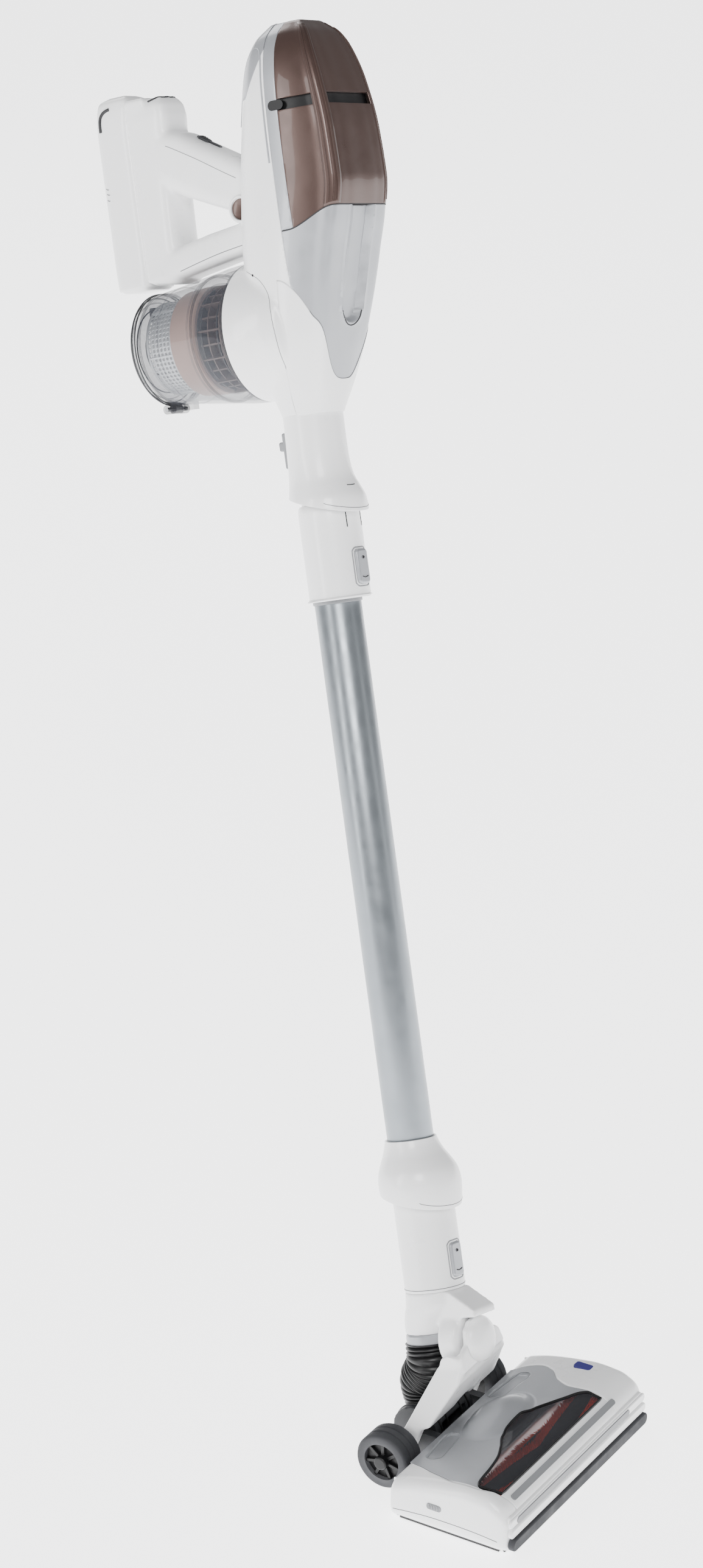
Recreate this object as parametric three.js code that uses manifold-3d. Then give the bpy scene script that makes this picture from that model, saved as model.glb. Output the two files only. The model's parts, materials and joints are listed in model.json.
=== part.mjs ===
// Cordless stick vacuum: handheld unit on an aluminium wand, on a powered floor head with a two-axis neck.
// Millimetres, +Z up. The floor is z = 0, the floor head's front faces -Y, and the origin is on its sole.

import * as THREE from 'three';
import { mergeVertices } from 'three/addons/utils/BufferGeometryUtils.js';
import Module from 'manifold-3d';

const wasm = await Module();
wasm.setup();

// ---------------------------------------------------------------- driving dimensions
const GAP = 0.3;                       // clearance between touching pieces
const FINE = 28;                       // sides of a large round
const COARSE = 14;                     // sides of a small round

const HEAD_HALF = 105;                 // half width of the floor head
const CHEEK = 9;                       // thickness of its end cheeks
const HEAD_FRONT = -69;                // front wall of the head
const HEAD_REAR = 30;                  // rear wall of the head
const ROLLER_Y = -41;                  // brush roller axis
const ROLLER_Z = 21;
const BRISTLE_R = 19.4;
const MOTOR_Y = 6;                     // brush motor axis
const MOTOR_Z = 18;
const BELT_X = 85;                     // middle of the belt drive

const AXLE_Y = 54;                     // wheel axle, behind the head
const WHEEL_R = 22;
const WHEEL_W = 23;
const WHEEL_X = 64;
const NECK_PITCH = THREE.MathUtils.degToRad(18.3);   // the neck leans back
const NECK_ROLL = THREE.MathUtils.degToRad(13.7);    // and the wand leans to the user's left
const PIVOT_FORWARD = 24.5;             // roll pivot, forward of the axle
const PIVOT_UP = 64;                   // and above it

const TUBE_R = 17.5;
const TUBE_BORE = 16;
const TUBE_TOP = 556;                  // top of the visible tube, above the roll pivot
const TUBE_LENGTH = 409;               // visible tube
const SOCKET = 55;                     // how far the tube runs into each end piece
const BUTTON_FLOOR = -17.6;            // bottom of the two release buttons' windows

const CUP_Z = 204;                     // dust cup axis, above the top of the tube
const RIM_Y = 33;                      // joint between body and dust cup
const CUP_END = 121;                   // rear of the dust cup
const MOTOR_AXIS_Y = -20;              // suction motor axis
const COVER_Y = -24.7;                 // seam between the white shell and the front covers
const PANEL_TOP = 277;                 // top of the silver front panel
const SHELL = 2.8;                     // wall of the unit's shells
const STRIP_Y = -34.7;                 // front of the silver strip beside the covers

// ---------------------------------------------------------------- materials
const paint = (color, roughness, metalness = 0, extra = {}) =>
  new THREE.MeshStandardMaterial({ color, roughness, metalness, ...extra });
const LOOK = {
  white: () => paint(0xf1f2f2, 0.28),
  silver: () => paint(0xb5b8bc, 0.35, 0.6),
  grey: () => paint(0x9fa3a8, 0.45),
  dark: () => paint(0x34363a, 0.55),
  black: () => paint(0x161719, 0.7),
  rubber: () => paint(0x2b2c2e, 0.85),
  bronze: () => paint(0x5b4238, 0.18, 0.8),
  tube: () => paint(0x8d949b, 0.4, 0.85),
  steel: () => paint(0xb9bcc0, 0.25, 1),
  smoke: () => paint(0x40423f, 0.1, 0, { transparent: true, opacity: 0.45 }),
  clear: () => paint(0xcfd2d2, 0.06, 0, { transparent: true, opacity: 0.3 }),
  tan: () => paint(0x8a6f58, 0.5),
  mesh: () => paint(0xb9bab8, 0.4, 0.7),
  bristle: () => paint(0xc9452c, 0.9),
  blue: () => paint(0x5a59c8, 0.3),
  board: () => paint(0x1f5a3a, 0.6),
};

// ---------------------------------------------------------------- solids
function solid(geometry) {
  const bare = geometry.clone();
  bare.deleteAttribute('normal');
  bare.deleteAttribute('uv');
  const merged = mergeVertices(bare, 1e-4);
  return new wasm.Manifold(new wasm.Mesh({
    numProp: 3,
    vertProperties: new Float32Array(merged.attributes.position.array),
    triVerts: new Uint32Array(merged.index.array),
  }));
}

function geometryOf(body) {
  const mesh = body.getMesh();
  const geometry = new THREE.BufferGeometry();
  geometry.setAttribute('position', new THREE.BufferAttribute(new Float32Array(mesh.vertProperties), 3));
  geometry.setIndex(new THREE.BufferAttribute(new Uint32Array(mesh.triVerts), 1));
  geometry.computeVertexNormals();
  return geometry;
}

const placed = (geometry, [x, y, z], turn = {}) => {
  geometry.rotateX(turn.x ?? 0).rotateY(turn.y ?? 0).rotateZ(turn.z ?? 0).translate(x, y, z);
  return solid(geometry);
};
const box = (low, high) => placed(
  new THREE.BoxGeometry(...high.map((value, axis) => value - low[axis])),
  high.map((value, axis) => (value + low[axis]) / 2));

const QUARTER = Math.PI / 2;
const AXIS_TURN = { x: { z: -QUARTER }, y: {}, z: { x: QUARTER } };
// A round bar from one end to the other along an axis, through the given centre.
function rod(axis, radius, from, to, [u, v], sides = FINE, endRadius = radius) {
  const middle = (from + to) / 2;
  const centre = { x: [middle, u, v], y: [u, middle, v], z: [u, v, middle] }[axis];
  return placed(new THREE.CylinderGeometry(endRadius, radius, to - from, sides), centre, AXIS_TURN[axis]);
}

const ball = (centre, radii, sides = 20) =>
  placed(new THREE.SphereGeometry(1, sides, sides / 2).scale(...radii), centre);

// A closed outline in the Y-Z plane, run along X.
function prismX(outline, from, to) {
  const shape = new THREE.Shape(outline.map(([y, z]) => new THREE.Vector2(y, z)));
  const geometry = new THREE.ExtrudeGeometry(shape, { depth: to - from, bevelEnabled: false,
    curveSegments: 8 });
  return placed(geometry.rotateX(QUARTER).rotateZ(QUARTER), [from, 0, 0]);
}

// A closed outline in the X-Z plane, run along Y.
function prismY(outline, from, to) {
  const shape = new THREE.Shape(outline.map(([x, z]) => new THREE.Vector2(x, z)));
  const geometry = new THREE.ExtrudeGeometry(shape, { depth: to - from, bevelEnabled: false });
  return placed(geometry.rotateX(QUARTER), [0, to, 0]);
}

// A turned ring or disc about an axis: profile is a closed list of [radius, distance along the axis].
function turned(profile, axis, [u, v], sides = FINE) {
  const points = [...profile, profile[0]].map(([r, along]) => new THREE.Vector2(r, along));
  const geometry = new THREE.LatheGeometry(points, sides);
  const centre = { x: [0, u, v], y: [u, 0, v], z: [u, v, 0] }[axis];
  let body = placed(geometry, centre, AXIS_TURN[axis]);
  if (body.volume() < 0) body = solid(flipped(geometryOf(body)));
  return body;
}

function flipped(geometry) {
  const index = geometry.index.array;
  for (let i = 0; i < index.length; i += 3) [index[i], index[i + 1]] = [index[i + 1], index[i]];
  return geometry;
}

// Half of the unit's cross-section, from the middle of the front round to the middle of the rear.
const PANEL = [[0, 1], [0.4, 1], [0.76, 0.96], [0.87, 0.68], [0.95, 0.42], [1, 0.12],
  [0.99, -0.2], [0.9, -0.55], [0.68, -0.82], [0.36, -0.96], [0, -1]];
const OUTLINE = [...PANEL, ...PANEL.slice(1, -1).reverse().map(([x, f]) => [-x, f])];

// A stack of cross-sections along Z. Each level has its half width, how far it reaches to the front and to
// the rear, and how square it is: 0 is an ellipse and 1 is the unit's own cross-section.
function loft(levels, inset = 0) {
  const rings = levels.map((level) => {
    const reach = (level.front - level.rear) / 2 - inset;
    const middle = (level.front + level.rear) / 2;
    return OUTLINE.map(([x, f]) => {
      const angle = Math.atan2(x, f);
      const wide = THREE.MathUtils.lerp(Math.sin(angle), x, level.square);
      const long = THREE.MathUtils.lerp(Math.cos(angle), f, level.square);
      return [wide * (level.half - inset), -(middle + long * reach), level.z];
    });
  });
  const count = OUTLINE.length;
  const points = rings.flat();
  const faces = [];
  for (let ring = 0; ring + 1 < rings.length; ring += 1) {
    for (let i = 0; i < count; i += 1) {
      const a = ring * count + i;
      const b = ring * count + (i + 1) % count;
      faces.push([a, b + count, b], [a, a + count, b + count]);
    }
  }
  const last = (rings.length - 1) * count;
  for (let i = 1; i + 1 < count; i += 1) faces.push([0, i, i + 1], [last, last + i + 1, last + i]);
  const geometry = new THREE.BufferGeometry();
  geometry.setAttribute('position', new THREE.Float32BufferAttribute(points.flat(), 3));
  geometry.setIndex(faces.flat());
  const body = solid(geometry);
  return body.volume() > 0 ? body : solid(flipped(geometry));
}

// Concentric tube pieces that share one stack of round levels [z, radius, forward offset].
function roundStack(levels, inset = 0) {
  return loft(levels.map(([z, radius, forward]) => (
    { z, half: radius, front: forward + radius, rear: forward - radius, square: 0 })), inset);
}

// ---------------------------------------------------------------- scene graph
const vacuum = new THREE.Group();
const neck = new THREE.Group();
neck.position.set(0, AXLE_Y, WHEEL_R);
neck.rotation.x = -NECK_PITCH;
const wand = new THREE.Group();
wand.position.set(0, -PIVOT_FORWARD, PIVOT_UP);
wand.rotation.y = NECK_ROLL;
const unit = new THREE.Group();
unit.position.set(0, 0, TUBE_TOP);
vacuum.add(neck);
neck.add(wand);
wand.add(unit);

function piece(parent, name, body, look) {
  const mesh = new THREE.Mesh(geometryOf(body), LOOK[look]());
  mesh.name = name;
  parent.add(mesh);
  return mesh;
}

// ---------------------------------------------------------------- floor head
const ROOF = [[HEAD_FRONT, 30], [-62, 38.5], [-50, 43.5], [-34, 44.5], [-14, 42], [10, 37],
  [HEAD_REAR, 30]];

// The head's section in Y and Z, drawn in by an inset.
function headSection(inset) {
  const shift = (i) => (i === 0 ? inset : i === ROOF.length - 1 ? -inset : 0);
  const roof = ROOF.map(([y, z], i) => [y + shift(i), z - inset]);
  return [...roof, [HEAD_REAR - inset, 7], [HEAD_REAR - 7, inset], [HEAD_FRONT + 6, inset],
    [HEAD_FRONT + inset, 4]];
}

function buildHead() {
  const inner = HEAD_HALF - CHEEK;
  const chamberEnd = 77;               // the brush chamber stops short of the belt
  const openTop = box([-inner, HEAD_FRONT + 3, 5], [inner - 1, HEAD_REAR - 3, 90]);
  const trayTop = box([-inner, -90, 24], [inner, 90, 90]);
  const suction = box([-inner + 3, -63.5, -5], [chamberEnd, -18.5, 20]);
  const partition = box([-inner - 1, -17, 3], [chamberEnd, -14.5, 23.5]);
  const seat = rod('x', 13.4, -25, 62, [MOTOR_Y, MOTOR_Z]);
  const rib = (x) => box([x, -8, 4], [x + 4, 20, 14]);
  let base = prismX(headSection(0), -HEAD_HALF, HEAD_HALF).subtract(openTop).subtract(trayTop)
    .add(partition).add(rib(-12)).add(rib(44)).subtract(seat).subtract(suction);
  for (const side of [-1, 1]) {
    base = base.subtract(box([side * 70 - 6.5, 14, -1], [side * 70 + 6.5, 27, 12]))
      .add(box([side * 70 - 8, 12, 4], [side * 70 - 6.5, 26, 14]))
      .add(box([side * 70 + 6.5, 12, 4], [side * 70 + 8, 26, 14]))
      .add(box([side * 70 - 8, 12, 11.5], [side * 70 + 8, 27, 13]));
    base = base.subtract(rod('x', 5.3, side * 95 - 4, side * 95 + 4, [ROLLER_Y, ROLLER_Z], COARSE));
  }
  base = base.subtract(box([-22, 22, 8.5], [22, 40, 26]))
    .subtract(box([-HEAD_HALF - 1, -20, 18], [-HEAD_HALF + 2, 4, 26]));
  piece(vacuum, 'head_base', base, 'white');

  const windowCut = box([-82, -60, 20], [82, -24, 60]);
  const dome = ball([0, -6, 30], [42, 24, 17]).subtract(box([-60, -60, 0], [60, 60, 34]));
  const domeHollow = ball([0, -6, 30], [39.5, 21.5, 14.5]);
  const under = prismX(headSection(2.6), -inner - 5, inner + 5);
  let cover = prismX(headSection(0), -inner + GAP, inner - GAP).add(dome)
    .subtract(under).subtract(domeHollow).subtract(box([-200, -90, -5], [200, 90, 24.3]))
    .subtract(windowCut).subtract(box([-200, -90, -5], [200, HEAD_FRONT + 4, 37]))
    .subtract(box([-23, 20, 20], [23, 40, 28]))
    .subtract(prismX([[-33.3, 43], [-17.7, 41.1], [-17.7, 60], [-33.3, 60]], 84.2, 93.3));
  cover = cover.intersect(box([-inner + GAP, -90, 0], [inner - GAP, HEAD_REAR, 90]));
  piece(vacuum, 'head_cover', cover, 'silver');

  const pane = prismX(headSection(0.2), -81.7, 81.7).subtract(prismX(headSection(2.4), -90, 90))
    .intersect(box([-81.7, -59.7, 30], [81.7, -24.3, 60]));
  piece(vacuum, 'brush_window', pane, 'smoke');

  const strip = (name, low, high, depth, look) => piece(vacuum, name,
    prismX([[HEAD_FRONT - GAP, low], [HEAD_FRONT - depth, low + 2], [HEAD_FRONT - depth, high - 2],
      [HEAD_FRONT - GAP, high]], -HEAD_HALF + 2, HEAD_HALF - 2), look);
  strip('front_bumper', 3.5, 13.5, 5.5, 'rubber');
  strip('lower_trim', 14, 21.5, 4, 'grey');
  strip('upper_trim', 22, 29.5, 3, 'silver');
  const lampSection = [[-33, 43.3], [-18, 41.45], [-18, 43.6], [-33, 45.4]];
  piece(vacuum, 'head_lamp', prismX(lampSection, 84.5, 93), 'blue');
  const latch = box([-HEAD_HALF - 1.2, -15, 19.5], [-HEAD_HALF + 1.6, -3, 24.5]);
  piece(vacuum, 'roller_release_latch', latch, 'grey');
}

// The brush roller has helical rows that meet in a chevron, and a belt drive from the brush motor.
function buildBrush() {
  const fins = 6;
  const section = new THREE.Shape();
  for (let i = 0; i < fins * 4; i += 1) {
    const radius = i % 4 === 0 || i % 4 === 1 ? BRISTLE_R : 14.5;
    const angle = (i / (fins * 4)) * Math.PI * 2 + (i % 4 === 1 || i % 4 === 2 ? -0.12 : 0);
    section[i === 0 ? 'moveTo' : 'lineTo'](radius * Math.cos(angle), radius * Math.sin(angle));
  }
  const rollerLength = 166;
  const extrusion = { depth: rollerLength, steps: 12, bevelEnabled: false };
  const roller = new THREE.ExtrudeGeometry(section, extrusion);
  const place = roller.attributes.position;
  for (let i = 0; i < place.count; i += 1) {
    const along = place.getZ(i) - rollerLength / 2;
    const turn = Math.abs(along) * 0.011;
    const [x, y] = [place.getX(i), place.getY(i)];
    const [c, s] = [Math.cos(turn), Math.sin(turn)];
    place.setXYZ(i, x * c - y * s, x * s + y * c, along);
  }
  const shaft = rod('x', 3, -96, 92, [ROLLER_Y, ROLLER_Z], 12);
  const brush = placed(roller.rotateY(QUARTER), [-7.5, ROLLER_Y, ROLLER_Z]).add(shaft);
  piece(vacuum, 'brush_roller', brush, 'bristle');
  const end = 4 - HEAD_HALF + CHEEK;
  piece(vacuum, 'brush_bearing', turned([[3.15, end - 7], [5, end - 7], [5, end], [3.15, end]],
    'x', [ROLLER_Y, ROLLER_Z], COARSE), 'steel');

  const motor = rod('x', 13, -20, 58, [MOTOR_Y, MOTOR_Z]);
  piece(vacuum, 'brush_motor', motor.add(rod('x', 5, 57, 61, [MOTOR_Y, MOTOR_Z], COARSE)), 'steel');
  const pulley = (radius, bore, [y, z]) => turned([[bore, BELT_X - 4.5], [radius + 1.5, BELT_X - 4.5],
    [radius + 1.5, BELT_X - 4], [radius, BELT_X - 3.5], [radius, BELT_X + 3.5], [radius + 1.5, BELT_X + 4],
    [radius + 1.5, BELT_X + 4.5], [bore, BELT_X + 4.5]], 'x', [y, z], COARSE);
  piece(vacuum, 'roller_pulley', pulley(12, 3.3, [ROLLER_Y, ROLLER_Z]), 'dark');
  piece(vacuum, 'motor_pulley', pulley(5, 1, [MOTOR_Y, MOTOR_Z])
    .add(rod('x', 2, 61.5, BELT_X + 4, [MOTOR_Y, MOTOR_Z], 12)), 'dark');
  piece(vacuum, 'drive_belt', prismX(beltLoop(14, 7.2), BELT_X - 3, BELT_X + 3)
    .subtract(prismX(beltLoop(12.8, 5.9), BELT_X - 4, BELT_X + 4)), 'black');
}

// Two small rollers in the sole, and two wheels on the axle that carries the neck.
function buildWheels() {
  for (const [side, name] of [[-1, 'left'], [1, 'right']]) {
    const x = side * 70;
    piece(vacuum, `sole_roller_${name}`, rod('x', 5, x - 5.5, x + 5.5, [20.5, 5], COARSE), 'rubber');
    const arm = prismX([[HEAD_REAR + GAP, 12], [HEAD_REAR + GAP, 30], [AXLE_Y - 5, 30], [AXLE_Y + 6, 26],
      [AXLE_Y + 7, 18], [AXLE_Y, 14]], side < 0 ? -36 : 29, side < 0 ? -29 : 36);
    const eye = rod('x', 3.3, side * 32 - 9, side * 32 + 9, [AXLE_Y, WHEEL_R], COARSE);
    piece(vacuum, `axle_bracket_${name}`, arm.subtract(eye), 'dark');
    const axle = rod('x', 3, side < 0 ? -77.5 : 27.5, side < 0 ? -27.5 : 77.5, [AXLE_Y, WHEEL_R], COARSE);
    piece(vacuum, `axle_${name}`, axle, 'steel');
    const inside = side * (WHEEL_X - WHEEL_W / 2);
    const outside = side * (WHEEL_X + WHEEL_W / 2);
    const [low, high] = [Math.min(inside, outside), Math.max(inside, outside)];
    let wheel = turned([[3.3, low + 2], [15, low + 2], [15, low], [WHEEL_R - 1.5, low], [WHEEL_R, low + 2],
      [WHEEL_R, high - 2], [WHEEL_R - 1.5, high], [15, high], [15, high - 2], [3.3, high - 2]],
    'x', [AXLE_Y, WHEEL_R]);
    for (let i = 0; i < 7; i += 1) {
      const angle = (i / 7) * Math.PI * 2;
      const face = side < 0 ? [low + 1, low + 7] : [high - 7, high - 1];
      const spot = [AXLE_Y + 9 * Math.cos(angle), WHEEL_R + 9 * Math.sin(angle)];
      wheel = wheel.subtract(rod('x', 3.1, ...face, spot, 8));
    }
    piece(vacuum, `wheel_${name}`, wheel, 'rubber');
  }
  const duct = box([-21.5, 22.5, 9], [21.5, 52, 25.5]).subtract(rod('x', 20.6, -30, 30, [AXLE_Y, WHEEL_R]))
    .subtract(box([-19, 0, 11.5], [19, 60, 23]));
  piece(vacuum, 'air_duct', duct, 'dark');
}

// The belt's path round the two pulleys.
function beltLoop(big, small) {
  const path = new THREE.Shape();
  const tilt = Math.atan2(MOTOR_Z - ROLLER_Z, MOTOR_Y - ROLLER_Y);
  path.absarc(ROLLER_Y, ROLLER_Z, big, tilt + 1.7, tilt - 1.7 + 2 * Math.PI, false);
  path.absarc(MOTOR_Y, MOTOR_Z, small, tilt - 1.4, tilt + 1.4, false);
  return path.getPoints(10).map((p) => [p.x, p.y]);
}

// ---------------------------------------------------------------- neck, from the axle to the roll pivot
function buildNeck() {
  const plate = -PIVOT_FORWARD - 38;
  const side = [[plate, PIVOT_UP + 17], [plate + 5, PIVOT_UP + 17], [plate + 10, 56], [plate + 24, 54],
    [-6, 12], [9, 6], [9, -6], [0, -9], [-8, -6], [-22, 12], [-31, 14], [plate + 5, 42], [plate, 56]];
  const right = [[5, PIVOT_UP + 16.5], [13, PIVOT_UP + 12], [17, PIVOT_UP], [29, 54], [49, 14], [49, -12]];
  const innerRight = [[24.5, 90], [24.5, 52], [38, 10], [38, -20]];
  const mirrored = (points) => [...points, ...[...points].reverse().map(([x, z]) => [-x, z])];
  const half = mirrored(right);
  const innerHalf = mirrored(innerRight);
  const innerSide = side.map(([y, z], i) => [y + (i < 2 || i > 9 ? 5 : 14),
    z + (i > 4 && i < 9 ? -12 : i < 2 ? 20 : 0)]);
  const yoke = prismX(side, -50, 50).intersect(prismY(half, -80, 20))
    .subtract(prismX(innerSide, -38, 38).intersect(prismY(innerHalf, -80, 40)))
    .subtract(box([-25, plate + 5, 50], [25, 0, 90]))
    .subtract(rod('y', 15, -70, 20, [0, 4], FINE).add(box([-15, -70, -20], [15, 20, 4])))
    .subtract(rod('y', 5.4, -70, -40, [0, PIVOT_UP], COARSE))
    .subtract(rod('x', 3.3, -60, 60, [0, 0], COARSE))
    .subtract(box([-38, -26, -20], [38, 20, 26]));
  piece(neck, 'neck_yoke', yoke, 'white');

  const hoseAt = [0, -1.5];
  const drum = rod('x', 19.8, -26, 26, [0, 0]).subtract(box([-17, -30, -12], [17, 3, 2]))
    .add(rod('z', 16.6, 14, 19, hoseAt)).subtract(rod('z', 14, -4, 30, hoseAt));
  piece(neck, 'hose_drum', drum, 'dark');
}

// The corrugated hose bends from the drum up to the leaning elbow.
function buildHose() {
  const ridges = 8;
  const route = [[0, -1.5, 22], [-0.6, -3, 31], [-2.2, -13.5, 43], [-3.2, -17.2, 51], [-0.9, -17.5, 60]];
  const path = new THREE.CatmullRomCurve3(route.map((point) => new THREE.Vector3(...point)));
  const [crest, groove, inside] = [19, 16.2, 13.6];
  const rings = [];
  for (let i = 0; i <= ridges * 2; i += 1) {
    rings.push({ along: i / (ridges * 2), radius: i % 2 ? crest : groove });
  }
  const skin = (radiusOf, overrun) => {
    const points = [];
    const sides = 20;
    const lean = new THREE.Quaternion();
    const up = new THREE.Vector3(0, 0, 1);
    for (const ring of rings) {
      const centre = path.getPointAt(ring.along);
      lean.setFromUnitVectors(up, path.getTangentAt(ring.along));
      for (let i = 0; i < sides; i += 1) {
        const angle = (i / sides) * Math.PI * 2;
        const beyond = ring.along === 0 ? -overrun : ring.along === 1 ? overrun : 0;
        const radius = radiusOf(ring);
        const spot = new THREE.Vector3(radius * Math.cos(angle), radius * Math.sin(angle), beyond);
        points.push(...spot.applyQuaternion(lean).add(centre).toArray());
      }
    }
    const faces = [];
    const last = (rings.length - 1) * sides;
    for (let ring = 0; ring + 1 < rings.length; ring += 1) {
      for (let i = 0; i < sides; i += 1) {
        const a = ring * sides + i;
        const b = ring * sides + (i + 1) % sides;
        faces.push(a, b, b + sides, a, b + sides, a + sides);
      }
    }
    for (let i = 1; i + 1 < sides; i += 1) faces.push(0, i + 1, i, last, last + i, last + i + 1);
    const geometry = new THREE.BufferGeometry();
    geometry.setAttribute('position', new THREE.Float32BufferAttribute(points, 3));
    geometry.setIndex(faces);
    return solid(geometry);
  };
  piece(neck, 'neck_hose', skin((ring) => ring.radius, 0).subtract(skin(() => inside, 2)), 'black');
}

// ---------------------------------------------------------------- wand
function buildWandFoot() {
  const outer = [[6, 18, -7], [16, 20, -3], [28, 22.8, 3], [38, 22.8, 4]];
  const pinBore = rod('y', 4.4, -40, 0, [0, 0], COARSE);
  const boss = rod('y', 9, -32, -12, [0, 0], COARSE);
  const bulge = rod('y', 29, -46, -6, [0, 0], FINE).intersect(box([-12, -46, 17.6], [12, -6, 33]))
    .intersect(ball([0, -14, 22], [26, 32.5, 17]));
  const bore = roundStack([[-2, 14.4, -7], [16, 16, -3], [28, 18, 3], [40, 18, 4]]);
  const elbow = roundStack(outer).add(boss.subtract(pinBore)).add(bulge).subtract(bore)
    .subtract(rod('y', 4.4, -40, -20, [0, 0], COARSE));
  piece(wand, 'neck_elbow', elbow, 'white');
  const ring = turned([[14.2, -2.5], [17.6, -2.5], [17.6, 5.6], [14.4, 5.6]], 'z', [0, 7]);
  piece(wand, 'hose_ring', ring, 'silver');
  const pin = rod('y', 4, -40, -21, [0, 0], COARSE).add(rod('y', 12, -43, -38.6, [0, 0], 24));
  piece(wand, 'swivel_pin', pin, 'silver');

  const sleeve = roundStack([[38.4, 22.8, 4], [112, 22.8, 4]]).subtract(rod('z', 17.9, 30, 130, [0, 0]))
    .subtract(box([-7.5, -40, 46], [7.5, BUTTON_FLOOR, 74]));
  piece(wand, 'lower_sleeve', sleeve, 'white');
  piece(wand, 'lower_release_button', box([-7, -28.4, 46.6], [7, -19.3, 73.4]), 'silver');

  const slant = new THREE.BoxGeometry(120, 120, 60).rotateX(0.26).translate(0, 0, 76);
  const flare = roundStack([[90, 27, 3], [122, 28.3, 3], [134, 26, 2], [147, 20.5, 0], [152, 19.4, 0]])
    .subtract(solid(slant))
    .subtract(roundStack([[80, 23.6, 4], [113.6, 23.6, 4], [116, 17.9, 0], [160, 17.9, 0]]));
  piece(wand, 'lower_connector', flare, 'white');

  const tubeFoot = TUBE_TOP - TUBE_LENGTH - SOCKET - 30;
  const tubeHead = TUBE_TOP + SOCKET;
  const tube = turned([[TUBE_BORE, tubeFoot], [TUBE_R, tubeFoot], [TUBE_R, tubeHead], [TUBE_BORE, tubeHead]],
    'z', [0, 0]);
  piece(wand, 'wand_tube', tube, 'tube');
}

function buildCollar() {
  const shell = roundStack([[0, 22.6, 2.6], [4, 23, 3], [62, 23, 3], [71, 21, 2]]);
  const spigot = rod('z', 17, 60, 108, [0, 0]);
  const tubeSocket = rod('z', 17.9, -5, 56, [0, 0]);
  const collar = shell.subtract(tubeSocket).add(spigot).subtract(rod('z', 14.6, -5, 120, [0, 0]))
    .subtract(box([-7.5, -40, 8], [7.5, BUTTON_FLOOR, 36]));
  piece(unit, 'upper_collar', collar, 'white');
  piece(unit, 'upper_release_button', box([-7, -28.2, 8.6], [7, -18.9, 35.4]), 'silver');
}

// ---------------------------------------------------------------- handheld unit
const BODY = [
  { z: 137, half: 22, front: 24, rear: -22, square: 0 },
  { z: 160, half: 30, front: 33, rear: -27, square: 0.35 },
  { z: 197, half: 38, front: 45, rear: -30, square: 0.7 },
  { z: 251, half: 42, front: 60, rear: -31, square: 1 },
  { z: PANEL_TOP, half: 42.5, front: 68.5, rear: -29, square: 1 },
  { z: 305, half: 42.5, front: 74, rear: -25, square: 1 },
  { z: 338, half: 42, front: 73, rear: -19, square: 1 },
  { z: 374, half: 40, front: 68, rear: -11, square: 1 },
  { z: 397, half: 36, front: 62, rear: -4, square: 1 },
  { z: 411, half: 29, front: 56, rear: 4, square: 1 },
  { z: 421, half: 17, front: 47, rear: 15, square: 1 },
];

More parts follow.
